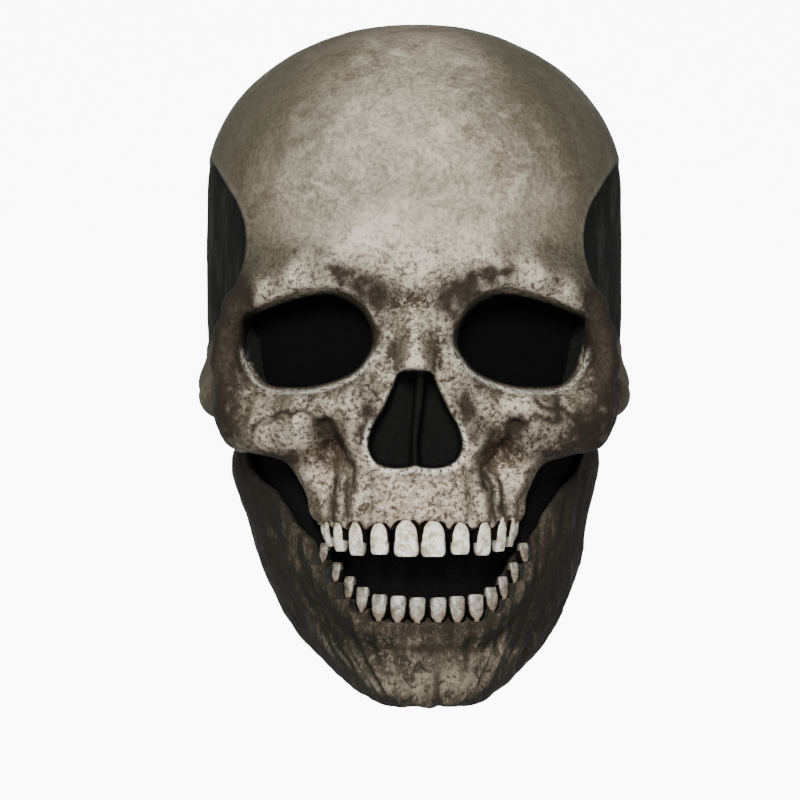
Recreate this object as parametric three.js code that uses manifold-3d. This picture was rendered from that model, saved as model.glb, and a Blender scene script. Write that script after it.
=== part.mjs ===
import * as THREE from "three";
import { mergeVertices } from "three/addons/utils/BufferGeometryUtils.js";
import Module from "manifold-3d";

// A full-head skull mask of soft latex, upright as it is worn, with its mouth open.
// Z is up, the face looks along -Y, and the origin is on the inside of the crown.
// Lengths are in millimetres. The tables hold shares of the sizes below.
const HEIGHT = 300; // outside of the crown to the chin
const HALF = 94; // middle of the head to its side, above the ears
const REACH = 100; // measure for everything in front of or behind the upright axis
const CROWN = 3; // outside of the crown above the origin
const WALL = 3; // latex of the head
const JAW_WALL = 4; // latex of the jaw
const GUM_DEPTH = 10; // thickness of the gums, which hold the roots of the teeth
const GAP = 0.3; // room that a seated piece keeps all round
const CROWN_RISE = 78; // height of the domed crown
const HEAD_AXIS = 0.08 * REACH; // upright axis of the cranium, along Y
const FACE_AXIS = -0.58 * REACH; // upright axis of the upper jaw, along Y
const JAW_AXIS = -0.12 * REACH; // upright axis of the lower jaw, along Y
const JAW_BACK = 0.14 * REACH; // back end of the jaw's branches, along Y
const SCREEN_FRONT = -0.79 * REACH; // eye screens beside the nose, along Y
const SCREEN_SLANT = 0.42; // how fast the screens run back towards the temples
const SCREEN_THICK = 1;
const SCREEN_RIM = 2; // part of the screen that is hidden in the wall
const SCREEN_INNER = 0.213 * HALF; // distance from the middle where the slant starts
const NOSE_FLOOR = -0.93 * REACH; // bottom of the nose hollow, along Y
const SEPTUM_FRONT = -1.04 * REACH;
const SEPTUM_THICK = 2.6;
const SEPTUM_SHIFT = 1.2; // the septum stands a little to one side
const PALATE_UNDER = CROWN - 0.69 * HEIGHT; // underside of the roof of the mouth
const PALATE_THICK = 8;
const FACE_WALL = 4.5; // latex behind the nose and the upper gum
const TEMPLE_SUNK = 1; // depth of the flat temple panels at the ears
const TEMPLE_DEEP = 5; // what the panels are deeper at the brow
const MARGIN = 14; // free space around a form while it is made
const CLOTH_THICK = 1.2;
const FINE = 8.8; // facets of the face
const COARSE = 15; // facets of the crown, of the back and of the inside

const wasm = await Module();
wasm.setup();

// A table: one row per section, one named column per value.
function table(names, lines) {
  const columns = {};
  names.split(" ").forEach((name, i) => { columns[name] = lines.map((line) => line[i]); });
  columns.size = lines.length;
  return columns;
}

const CRANIUM = table("down half_width front back square", [
  [0.260, 0.990, 0.95, 1.20, 2.35],
  [0.377, 0.990, 0.96, 1.22, 2.40],
  [0.460, 0.985, 0.84, 1.17, 2.40],
  [0.543, 0.960, 0.70, 1.05, 2.30],
  [0.610, 0.895, 0.58, 0.92, 2.20],
  [0.677, 0.790, 0.48, 0.80, 2.10],
  [0.760, 0.700, 0.42, 0.72, 2.10]]);
const MAXILLA = table("down half_width front square", [
  [0.510, 0.32, 0.96, 2.2],
  [0.577, 0.40, 1.01, 2.3],
  [0.643, 0.43, 1.04, 2.4],
  [0.693, 0.45, 1.07, 2.5],
  [0.783, 0.465, 1.10, 2.5]]);
const JAW = table("down half_width front square", [
  [0.543, 0.810, 0.76, 2.2],
  [0.600, 0.815, 0.80, 2.2],
  [0.643, 0.860, 0.84, 2.2],
  [0.733, 0.795, 0.90, 2.2],
  [0.790, 0.750, 0.94, 2.2],
  [0.820, 0.715, 0.94, 2.2],
  [0.847, 0.675, 0.93, 2.2],
  [0.877, 0.630, 0.91, 2.2],
  [0.903, 0.565, 0.89, 2.3],
  [0.930, 0.475, 0.90, 2.5],
  [0.957, 0.375, 0.92, 2.8],
  [0.983, 0.285, 0.91, 3.0],
  [1.007, 0.200, 0.85, 3.0]]);
// Strands of rounded form along the bones, drawn for one side and the same on the other.
const RIM = table("across forward down thick", [
  [0.14, 0.89, 0.440, 0.060],
  [0.21, 0.92, 0.406, 0.060],
  [0.36, 0.93, 0.385, 0.055],
  [0.53, 0.88, 0.387, 0.055],
  [0.68, 0.79, 0.402, 0.060],
  [0.80, 0.70, 0.425, 0.065],
  [0.85, 0.66, 0.465, 0.060],
  [0.86, 0.68, 0.503, 0.065],
  [0.80, 0.70, 0.557, 0.095]]);
const CHEEK = table("across forward down thick", [
  [0.77, 0.67, 0.593, 0.115],
  [0.66, 0.77, 0.590, 0.120],
  [0.49, 0.86, 0.585, 0.120],
  [0.32, 0.92, 0.567, 0.090]]);
const ARCH = table("across forward down thick", [
  [0.82, 0.60, 0.570, 0.090],
  [0.90, 0.38, 0.550, 0.080],
  [0.91, 0.10, 0.533, 0.080],
  [0.89, -0.14, 0.527, 0.070]]);
const ROOT = table("across forward down thick", [
  [0.55, 0.80, 0.603, 0.090],
  [0.45, 0.80, 0.657, 0.070],
  [0.42, 0.77, 0.703, 0.060]]);
const BRIDGE = table("across forward down thick", [
  [0.00, 0.89, 0.417, 0.080],
  [0.00, 0.96, 0.453, 0.075],
  [0.00, 1.06, 0.507, 0.075]]);
const WING = table("across forward down thick", [
  [0.15, 0.91, 0.443, 0.050],
  [0.18, 0.95, 0.497, 0.055],
  [0.23, 0.965, 0.550, 0.065],
  [0.28, 0.97, 0.610, 0.060]]);
// The sunk panel of a temple and the ball of form behind the nose and the cheeks.
const TEMPLE = { forward: 0.04, down: 0.34, deep: 0.63, tall: 0.14, start: 0.532, fade: 0.16 };
const BALL = { forward: 0.50, down: 0.51, wide: 0.66, deep: 0.46, tall: 0.153 };
// Soft swellings and dips of the front.
const SWELLS = table("across down wide tall rise", [
  [0.25, 0.345, 0.24, 0.035, 0.030],
  [0.00, 0.378, 0.13, 0.032, 0.025],
  [0.58, 0.368, 0.18, 0.030, 0.018],
  [0.33, 0.190, 0.28, 0.075, 0.015],
  [0.00, 0.420, 0.09, 0.018, -0.020],
  [0.38, 0.625, 0.10, 0.035, -0.022],
  [0.52, 0.520, 0.20, 0.020, 0.010]]);
// Outline of an eye hole, for one side, and half the outline of the nose hollow.
const SOCKET = table("across down", [
  [0.757, 0.434], [0.577, 0.411], [0.415, 0.401], [0.306, 0.410], [0.221, 0.432],
  [0.180, 0.465], [0.203, 0.494], [0.284, 0.521], [0.415, 0.537], [0.550, 0.542],
  [0.676, 0.537], [0.748, 0.514], [0.780, 0.483], [0.784, 0.455]]);
const NOSTRIL = table("across down", [
  [0.000, 0.513], [0.072, 0.516], [0.103, 0.535], [0.148, 0.566], [0.197, 0.594],
  [0.215, 0.621], [0.188, 0.642], [0.126, 0.652], [0.054, 0.653], [0.000, 0.650]]);
// Lower rim of the head, upper edge of the jaw and lower border of the jaw.
const BASE = table("forward down", [
  [-1.20, 0.650], [-0.60, 0.675], [-0.32, 0.660], [-0.18, 0.600], [0.40, 0.605],
  [0.52, 0.735], [1.20, 0.735]]);
const EDGE = table("across down", [
  [0.00, 0.873], [0.22, 0.870], [0.29, 0.855], [0.34, 0.838], [0.40, 0.812], [0.45, 0.785],
  [0.50, 0.757], [0.58, 0.717], [0.66, 0.683], [0.75, 0.648], [0.80, 0.600], [0.83, 0.570],
  [0.92, 0.552]]);
const BORDER = table("forward down", [
  [-0.20, 0.760], [-0.10, 0.800], [0.00, 0.833], [0.20, 0.887], [0.40, 0.940],
  [0.60, 0.972], [0.80, 0.992], [1.20, 0.997]]);
// Half of each row of teeth, from the middle outwards: place, turn in degrees, width, depth
// and the levels of the gum line and of the tip.
const UPPER_TEETH = table("across forward turn wide deep gum tip", [
  [0.060, 1.050, 4, 0.100, 0.060, 0.726, 0.776],
  [0.180, 1.035, 14, 0.078, 0.058, 0.727, 0.773],
  [0.280, 0.985, 32, 0.074, 0.062, 0.727, 0.775],
  [0.355, 0.920, 50, 0.066, 0.062, 0.727, 0.770],
  [0.402, 0.845, 68, 0.064, 0.060, 0.727, 0.764],
  [0.420, 0.780, 80, 0.058, 0.056, 0.727, 0.755]]);
const LOWER_TEETH = table("across forward turn wide deep gum tip", [
  [0.047, 0.870, 2, 0.066, 0.052, 0.871, 0.836],
  [0.133, 0.862, 8, 0.064, 0.052, 0.871, 0.834],
  [0.217, 0.838, 16, 0.066, 0.056, 0.869, 0.832],
  [0.290, 0.812, 24, 0.054, 0.054, 0.856, 0.822],
  [0.345, 0.800, 30, 0.046, 0.052, 0.838, 0.807],
  [0.398, 0.785, 36, 0.046, 0.052, 0.815, 0.787],
  [0.448, 0.755, 42, 0.050, 0.052, 0.788, 0.760]]);
// A tooth from its root to its tip: place along its length, share of its width and depth.
const TOOTH_RINGS = table("place wide deep", [
  [-0.40, 0.70, 0.60],
  [0.00, 0.90, 0.95],
  [0.55, 1.00, 0.86],
  [1.00, 0.88, 0.42]]);
const UPPER_SHIFT = 0.8; // the upper row sits a little to one side
const LOWER_SHIFT = 1.6; // and the lower row a little more

const smooth = (t) => { const s = Math.min(1, Math.max(0, t)); return s * s * (3 - 2 * s); };
const level = (z) => (CROWN - z) / HEIGHT;
const height = (down) => CROWN - down * HEIGHT;

// Two forms melted together, and what two forms share, with a rounded join.
function melt(a, b, blend) {
  const h = Math.min(1, Math.max(0, 0.5 + (0.5 * (b - a)) / blend));
  return b + (a - b) * h - blend * h * (1 - h);
}
const shared = (a, b, blend) => -melt(-a, -b, blend);

// The value of a column at a station, on a smooth curve or on straight lines.
function along(stations, values, at) {
  const last = stations.length - 1;
  const s = Math.min(stations[last], Math.max(stations[0], at));
  let i = 0;
  while (i < last - 1 && s > stations[i + 1]) i += 1;
  const step = (k) => (values[k + 1] - values[k]) / (stations[k + 1] - stations[k]);
  const slope = (k) => (k === 0 || k === last ? 0 : (step(k) + step(k - 1)) / 2);
  const h = stations[i + 1] - stations[i];
  const t = (s - stations[i]) / h;
  return (2 * t ** 3 - 3 * t ** 2 + 1) * values[i] + (t ** 3 - 2 * t ** 2 + t) * slope(i) * h
    + (3 * t ** 2 - 2 * t ** 3) * values[i + 1] + (t ** 3 - t ** 2) * slope(i + 1) * h;
}
function straight(stations, values, at) {
  const last = stations.length - 1;
  if (at <= stations[0]) return values[0];
  if (at >= stations[last]) return values[last];
  let i = 0;
  while (at > stations[i + 1]) i += 1;
  return values[i] + ((values[i + 1] - values[i]) * (at - stations[i])) / (stations[i + 1] - stations[i]);
}

// The lower face drifts a little to one side, as a hung mask does.
const lean = (z) => 0.06 * Math.max(0, -195 - z);

// Distance to a rounded strand that runs through the rows of a table.
function strand(x, y, z, t, blend) {
  const ax = Math.abs(x);
  let whole = null;
  for (let i = 0; i < t.size - 1; i += 1) {
    const from = [t.across[i] * HALF, -t.forward[i] * REACH, height(t.down[i])];
    const run = [
      t.across[i + 1] * HALF - from[0],
      -t.forward[i + 1] * REACH - from[1],
      height(t.down[i + 1]) - from[2]];
    const off = [ax - from[0], y - from[1], z - from[2]];
    const length = run[0] ** 2 + run[1] ** 2 + run[2] ** 2;
    const s = Math.min(1, Math.max(0, (off[0] * run[0] + off[1] * run[1] + off[2] * run[2]) / length));
    const away = Math.hypot(off[0] - s * run[0], off[1] - s * run[1], off[2] - s * run[2]);
    const q = away - (t.thick[i] + (t.thick[i + 1] - t.thick[i]) * s) * REACH;
    whole = whole === null ? q : melt(whole, q, blend);
  }
  return whole;
}

// Distance to an upright form with a rounded front that is open towards the back.
function bowl(x, y, z, t, axis) {
  const s = level(z);
  const w = along(t.down, t.half_width, s) * HALF;
  const f = along(t.down, t.front, s) * REACH + axis;
  const n = along(t.down, t.square, s);
  const yy = Math.min(y - axis, 0);
  const e = ((Math.abs(x) / w) ** n + (-yy / f) ** n) ** (1 / n) + 1e-6;
  return Math.hypot(x, yy) * (1 - 1 / e);
}

function cranium(x, y, z) {
  const s = level(z);
  const w = along(CRANIUM.down, CRANIUM.half_width, s) * HALF;
  const n = along(CRANIUM.down, CRANIUM.square, s);
  const yy = y - HEAD_AXIS;
  const d = yy < 0
    ? along(CRANIUM.down, CRANIUM.front, s) * REACH + HEAD_AXIS
    : along(CRANIUM.down, CRANIUM.back, s) * REACH - HEAD_AXIS;
  const up = Math.max(0, z - (CROWN - CROWN_RISE));
  const round = ((Math.abs(x) / w) ** n + (Math.abs(yy) / d) ** n) ** (2 / n);
  const e = Math.sqrt(round + (up / CROWN_RISE) ** 2.15) + 1e-6;
  const r = Math.hypot(x, yy, up);
  return r < 30 ? -60 : r * (1 - 1 / e);
}

// The flat, sunk panel of a temple.
function templeDip(x, y, z) {
  const side = Math.hypot(
    (y / REACH + TEMPLE.forward) / TEMPLE.deep,
    (level(z) - TEMPLE.down) / TEMPLE.tall);
  const ahead = smooth((-y / REACH - 0.08) / 0.4);
  const lateral = smooth((Math.abs(x) / HALF - TEMPLE.start) / TEMPLE.fade);
  return (TEMPLE_SUNK + TEMPLE_DEEP * ahead) * smooth((1 - side) * 12) * lateral;
}

function faceBall(x, y, z) {
  const away = Math.hypot(
    x / HALF / BALL.wide,
    (y / REACH + BALL.forward) / BALL.deep,
    (level(z) - BALL.down) / BALL.tall);
  return BALL.deep * REACH * (away - 1);
}
const upperJaw = (x, y, z) => shared(
  bowl(x, y, z, MAXILLA, FACE_AXIS),
  shared(y + 0.46 * REACH, z - height(0.5167), 6),
  10);

// The whole outside of the head, as one filled form.
function headForm(x0, y, z) {
  const x = x0 - lean(z);
  const ax = Math.abs(x);
  let d = cranium(x, y, z);
  d = melt(d, upperJaw(x, y, z), 10);
  d = melt(d, faceBall(x, y, z), 16);
  d = melt(d, strand(x, y, z, RIM, 4), 9);
  d = melt(d, strand(x, y, z, CHEEK, 6), 8);
  d = melt(d, strand(x, y, z, ARCH, 6), 8);
  d = melt(d, strand(x, y, z, ROOT, 6), 10);
  d = melt(d, strand(x, y, z, WING, 4), 9);
  d = melt(d, strand(x, y, z, BRIDGE, 4), 8);
  for (let i = 0; i < SWELLS.size; i += 1) {
    const a = (ax - SWELLS.across[i] * HALF) / (SWELLS.wide[i] * HALF);
    const b = (level(z) - SWELLS.down[i]) / SWELLS.tall[i];
    d -= SWELLS.rise[i] * REACH * Math.exp(-a * a - b * b) * smooth((-y / REACH - 0.3) / 0.3);
  }
  d += templeDip(x, y, z);
  const base = height(straight(BASE.forward, BASE.down, -y / REACH));
  return shared(d, base - z, 2);
}

// The room inside the head, which runs out below.
function headRoom(x0, y, z) {
  const x = x0 - lean(z);
  const skull = cranium(x, y, z) + templeDip(x, y, z) + WALL;
  const face = melt(faceBall(x, y, z) + FACE_WALL, upperJaw(x, y, z) + FACE_WALL, 6);
  return melt(skull, shared(face, PALATE_UNDER + PALATE_THICK - z, 2), 6);
}

// The jaw as one filled form: the bone, with the rounded gum along its upper edge.
function jawForm(x0, y, z) {
  const x = x0 - lean(z);
  const edge = height(along(EDGE.across, EDGE.down, Math.abs(x) / HALF));
  const border = height(straight(BORDER.forward, BORDER.down, -y / REACH));
  let d = shared(bowl(x, y, z, JAW, JAW_AXIS), z - edge, 4);
  d = melt(d, strand(x, y, z, LOWER_GUM, 4), 4);
  d = shared(d, border - z, 5);
  return shared(d, y - JAW_BACK, 3);
}

// How far the front of the jaw reaches at a place across, at a level.
function jawFront(across, down) {
  const w = along(JAW.down, JAW.half_width, down) * HALF;
  const f = along(JAW.down, JAW.front, down) * REACH + JAW_AXIS;
  const n = along(JAW.down, JAW.square, down);
  return JAW_AXIS - f * (1 - Math.min(1, (across * HALF) / w) ** n) ** (1 / n);
}
const GUM_THICK = [0.058, 0.058, 0.055, 0.055, 0.050, 0.045, 0.030];
const LOWER_GUM = table("across forward down thick", GUM_THICK.map((thick, i) => [
  EDGE.across[i],
  -(jawFront(EDGE.across[i], EDGE.down[i]) + 4.5) / REACH,
  EDGE.down[i] + 0.010,
  thick]));

// Positions along one axis: from a start, on to each end in steps of about its size.
function stations(start, ...runs) {
  const places = [start];
  for (const [end, size] of runs) {
    const from = places[places.length - 1];
    const count = Math.round((end - from) / size);
    for (let i = 1; i <= count; i += 1) places.push(from + ((end - from) * i) / count);
  }
  return places;
}

const CORNERS = [0, 1, 2, 3, 4, 5, 6, 7].map((c) => [c & 1, (c >> 1) & 1, c >> 2]);

// Whether the surface passes through a cell as one plain sheet, for each way its corners can lie.
const PLAIN_CELL = Array.from({ length: 256 }, (_, mask) => {
  const inside = (c) => (mask >> c) & 1;
  const joined = (wanted) => {
    const all = [0, 1, 2, 3, 4, 5, 6, 7].filter((c) => inside(c) === wanted);
    const reached = all.slice(0, 1);
    for (const c of reached)
      for (const axis of [1, 2, 4])
        if (inside(c ^ axis) === wanted && !reached.includes(c ^ axis)) reached.push(c ^ axis);
    return reached.length === all.length;
  };
  const crossed = [[1, 2], [1, 4], [2, 4]].some(([a, b]) => [0, 7 - a - b].some((c) =>
    inside(c) === inside(c ^ a ^ b) && inside(c ^ a) === inside(c ^ b) && inside(c) !== inside(c ^ a)));
  return joined(1) && joined(0) && !crossed;
});

// The closed surface of a form on a grid: one vertex in each cell that the surface crosses.
function solidOfForm(form, xs, ys, zs) {
  const [nx, ny, nz] = [xs.length, ys.length, zs.length];
  const at = (i, j, k) => (i * ny + j) * nz + k;
  const value = new Float64Array(nx * ny * nz);
  for (let i = 0; i < nx; i += 1)
    for (let j = 0; j < ny; j += 1)
      for (let k = 0; k < nz; k += 1) value[at(i, j, k)] = form(xs[i], ys[j], zs[k]) || 1e-6;
  const eachCell = (visit) => {
    for (let i = 0; i < nx - 1; i += 1)
      for (let j = 0; j < ny - 1; j += 1)
        for (let k = 0; k < nz - 1; k += 1) {
          const corners = CORNERS.map(([a, b, c]) => at(i + a, j + b, k + c));
          const mask = corners.reduce((sum, c, n) => sum | (value[c] < 0 ? 1 << n : 0), 0);
          if (mask !== 0 && mask !== 255) visit(i, j, k, corners, mask);
        }
  };
  let filled = true;
  while (filled) {
    filled = false;
    eachCell((i, j, k, corners, mask) => {
      if (PLAIN_CELL[mask]) return;
      const outside = corners.filter((c) => value[c] >= 0);
      const nearest = outside.reduce((a, b) => (value[b] < value[a] ? b : a));
      value[nearest] = -0.05;
      filled = true;
    });
  }
  const vertexOf = new Map();
  const points = [];
  eachCell((i, j, k, corners) => {
    const sum = [0, 0, 0];
    let crossings = 0;
    for (let c = 0; c < 8; c += 1)
      for (const axis of [1, 2, 4]) {
        const e = c ^ axis;
        if (e < c || value[corners[c]] < 0 === value[corners[e]] < 0) continue;
        const s = value[corners[c]] / (value[corners[c]] - value[corners[e]]);
        const [a, b] = [CORNERS[c], CORNERS[e]];
        sum[0] += xs[i + a[0]] + (xs[i + b[0]] - xs[i + a[0]]) * s;
        sum[1] += ys[j + a[1]] + (ys[j + b[1]] - ys[j + a[1]]) * s;
        sum[2] += zs[k + a[2]] + (zs[k + b[2]] - zs[k + a[2]]) * s;
        crossings += 1;
      }
    vertexOf.set(at(i, j, k), points.length / 3);
    points.push(...sum.map((v) => v / crossings));
  });
  const faces = [];
  const square = (a, b) => [0, 1, 2].reduce((sum, n) => sum + (points[3 * a + n] - points[3 * b + n]) ** 2, 0);
  const quad = (a, b, c, d) => {
    if (square(a, c) <= square(b, d)) faces.push(a, b, c, a, c, d);
    else faces.push(b, c, d, b, d, a);
  };
  const steps = [at(1, 0, 0), at(0, 1, 0), at(0, 0, 1)];
  for (let i = 1; i < nx - 1; i += 1)
    for (let j = 1; j < ny - 1; j += 1)
      for (let k = 1; k < nz - 1; k += 1)
        for (let axis = 0; axis < 3; axis += 1) {
          const here = at(i, j, k);
          const inside = value[here] < 0;
          if (inside === value[here + steps[axis]] < 0) continue;
          const [u, v] = [steps[(axis + 1) % 3], steps[(axis + 2) % 3]];
          const around = [here, here - u, here - u - v, here - v].map((n) => vertexOf.get(n));
          if (inside) quad(...around);
          else quad(...around.reverse());
        }
  return solid(points, faces);
}

function solid(points, faces) {
  return new wasm.Manifold(new wasm.Mesh({
    numProp: 3,
    vertProperties: new Float32Array(points),
    triVerts: new Uint32Array(faces),
  }));
}

function solidOfGeometry(geometry) {
  geometry.deleteAttribute("normal");
  geometry.deleteAttribute("uv");
  const merged = mergeVertices(geometry, 1e-4);
  return solid(merged.attributes.position.array, merged.index.array);
}

// A closed skin over rings of points, the first ring and the last one filled by a fan.
function solidOfRings(rings) {
  const count = rings[0].length;
  const points = rings.flat(2);
  const faces = [];
  for (let r = 0; r < rings.length - 1; r += 1)
    for (let i = 0; i < count; i += 1) {
      const [a, b] = [r * count + i, r * count + ((i + 1) % count)];
      faces.push(a, b, b + count, a, b + count, a + count);
    }
  [rings[0], rings[rings.length - 1]].forEach((ring, last) => {
    const centre = points.length / 3;
    points.push(...[0, 1, 2].map((n) => ring.reduce((sum, p) => sum + p[n], 0) / count));
    const start = last * (rings.length - 1) * count;
    for (let i = 0; i < count; i += 1) {
      const [a, b] = [start + i, start + ((i + 1) % count)];
      faces.push(...(last ? [a, b, centre] : [b, a, centre]));
    }
  });
  const made = solid(points, faces);
  if (made.volume() > 0) return made;
  const turned = faces.map((_, n) => faces[n - (n % 3) + (2 - (n % 3))]);
  return solid(points, turned);
}

// A smooth closed outline through the rows of a table, each [across, height] in millimetres.
function outlineOf(t, side, count) {
  let corners = t.across.map((a, i) => new THREE.Vector3(a * HALF, height(t.down[i]), 0));
  if (side === 0) {
    const other = corners.slice(1, -1).reverse().map((p) => new THREE.Vector3(-p.x, p.y, 0));
    corners = [...corners, ...other];
  }
  const curve = new THREE.CatmullRomCurve3(corners, true, "catmullrom", 0.5);
  const points = curve.getPoints(count).slice(0, count).map((p) => new THREE.Vector2(p.x * (side || 1), p.y));
  return THREE.ShapeUtils.isClockWise(points) ? points.reverse() : points;
}

// The same outline moved outwards all round.
function widened(points, amount) {
  const n = points.length;
  return points.map((p, i) => {
    const run = points[(i + 1) % n].clone().sub(points[(i + n - 1) % n]).normalize();
    return new THREE.Vector2(p.x + run.y * amount, p.y - run.x * amount);
  });
}

// An outline seen from the front, pushed through from one depth to another. The slant moves it
// back towards the sides.
function prism(points, front, back, slant = 0) {
  const geometry = new THREE.ExtrudeGeometry(new THREE.Shape(points), { depth: back - front, bevelEnabled: false });
  geometry.rotateX(Math.PI / 2).translate(0, back, 0);
  const place = geometry.attributes.position;
  for (let i = 0; i < place.count; i += 1)
    place.setY(i, place.getY(i) + slant * (Math.abs(place.getX(i)) - SCREEN_INNER));
  return solidOfGeometry(geometry);
}

const EYE_POINTS = 22;
const NOSE_POINTS = 18;
const sides = { left: 1, right: -1 };
const eyeOutline = (side) => outlineOf(SOCKET, side, EYE_POINTS);
const eyeScreen = (side, grow) => prism(
  widened(eyeOutline(side), SCREEN_RIM + grow),
  SCREEN_FRONT - grow,
  SCREEN_FRONT + SCREEN_THICK + grow,
  SCREEN_SLANT);

// The inside of the jaw and of the mouth: rings that follow the jaw, this much further in.
const THROAT_LEVELS = [0.610, 0.650, 0.700, 0.750, 0.800, 0.850, 0.8967];
const THROAT_POINTS = 17;
const CLOTH_RISE = 0.17; // the cloth's lower edge rises this share of the height towards the ears
function throatPoint(angle, down, extra) {
  const z = height(down);
  const w = along(JAW.down, JAW.half_width, down) * HALF;
  const f = along(JAW.down, JAW.front, down) * REACH + JAW_AXIS;
  const n = along(JAW.down, JAW.square, down);
  const x = w * Math.sign(Math.sin(angle)) * Math.abs(Math.sin(angle)) ** (2 / n);
  const y = -f * Math.abs(Math.cos(angle)) ** (2 / n);
  const gum = smooth((0.532 - Math.abs(x) / HALF) / 0.085) * smooth((0.9333 - down) / 0.0267);
  const low = smooth((down - 0.9433) / 0.0267);
  const inset = JAW_WALL + (GUM_DEPTH - JAW_WALL) * gum + 2 * low + extra;
  const out = new THREE.Vector2(x / w ** 2, y / f ** 2).normalize();
  return [x - out.x * inset + lean(z), y + JAW_AXIS - out.y * inset, z];
}
const throatAngles = Array.from({ length: THROAT_POINTS }, (_, i) =>
  -Math.PI / 2 + (Math.PI * i) / (THROAT_POINTS - 1));
const throatArc = (down, extra) => throatAngles.map((angle) => throatPoint(angle, down, extra));
function throatRoom(levels, back) {
  return solidOfRings(levels.map((down) => {
    const arc = throatArc(down, 0);
    const z = height(down);
    return [...arc, [arc[THROAT_POINTS - 1][0], back, z], [arc[0][0], back, z]];
  }));
}

// The cloth behind the teeth: two skins over the same grid of places, closed along all four edges.
function mouthCloth(grow) {
  const [top, low] = [THROAT_LEVELS[0], THROAT_LEVELS[THROAT_LEVELS.length - 1]];
  const wider = (2 * grow) / HEIGHT;
  const skins = [GAP - grow, GAP + CLOTH_THICK + grow].map((extra) =>
    THROAT_LEVELS.map((down) => throatAngles.map((angle) => {
      const rise = CLOTH_RISE * smooth((Math.abs(Math.sin(angle)) - 0.5) / 0.5);
      const share = (down - top) / (low - top);
      return throatPoint(angle, top - wider + share * (low - rise - top + 2 * wider), extra);
    })));
  const rows = THROAT_LEVELS.length;
  const points = skins.flat(3);
  const place = (skin, r, i) => (skin * rows + r) * THROAT_POINTS + i;
  const faces = [];
  const quad = (a, b, c, d) => faces.push(a, b, c, a, c, d);
  for (let r = 0; r < rows - 1; r += 1)
    for (let i = 0; i < THROAT_POINTS - 1; i += 1)
      for (const skin of [0, 1]) {
        const [a, b] = [place(skin, r, i), place(skin, r + 1, i)];
        const [c, d] = [place(skin, r + 1, i + 1), place(skin, r, i + 1)];
        faces.push(...(skin ? [c, b, a, d, c, a] : [a, b, c, a, c, d]));
      }
  const edge = [];
  for (let i = 0; i < THROAT_POINTS - 1; i += 1) edge.push([0, i]);
  for (let r = 0; r < rows - 1; r += 1) edge.push([r, THROAT_POINTS - 1]);
  for (let i = THROAT_POINTS - 1; i > 0; i -= 1) edge.push([rows - 1, i]);
  for (let r = rows - 1; r > 0; r -= 1) edge.push([r, 0]);
  edge.forEach(([r, i], n) => {
    const [r2, i2] = edge[(n + 1) % edge.length];
    quad(place(0, r, i), place(0, r2, i2), place(1, r2, i2), place(1, r, i));
  });
  return solid(points, faces);
}

// A tooth: rings from its root to its tip, turned to face out of the row.
const TOOTH_SIDES = 8;
function tooth(t, i, side, shift, grow) {
  const from = height(t.gum[i]);
  const run = height(t.tip[i]) - from;
  const turn = (t.turn[i] * Math.PI) / 180 * side;
  const cx = t.across[i] * HALF * side + shift + lean(from);
  const cy = -t.forward[i] * REACH;
  const last = TOOTH_RINGS.size - 1;
  return solidOfRings(TOOTH_RINGS.place.map((place, r) => {
    const cap = r === 0 ? -grow : r === last ? grow : 0;
    const z = from + run * place + Math.sign(run) * cap;
    const wide = (t.wide[i] * REACH * TOOTH_RINGS.wide[r]) / 2 + grow;
    const deep = (t.deep[i] * REACH * TOOTH_RINGS.deep[r]) / 2 + grow;
    return Array.from({ length: TOOTH_SIDES }, (_, s) => {
      const angle = ((s + 0.5) * 2 * Math.PI) / TOOTH_SIDES;
      const [u, v] = [1.08 * wide * Math.cos(angle), 1.08 * deep * Math.sin(angle)];
      return [
        cx + u * Math.cos(turn) + v * Math.sin(turn),
        cy + u * Math.sin(turn) - v * Math.cos(turn),
        z];
    });
  }));
}
function eachTooth(visit) {
  for (const [row, t, shift] of [["upper", UPPER_TEETH, UPPER_SHIFT], ["lower", LOWER_TEETH, LOWER_SHIFT]])
    for (const [side, sign] of Object.entries(sides))
      for (let i = 0; i < t.size; i += 1) visit(row, `${row}_tooth_${side}_${i + 1}`, t, i, sign, shift);
}

function toothSockets(wanted) {
  let all = null;
  eachTooth((row, name, t, i, sign, shift) => {
    if (row !== wanted) return;
    const one = tooth(t, i, sign, shift, GAP);
    all = all === null ? one : all.add(one);
  });
  return all;
}

const AHEAD = -1.3 * REACH; // a place in front of the face
const BEHIND = -0.3 * REACH; // and one behind it, where cuts through the face end

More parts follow.
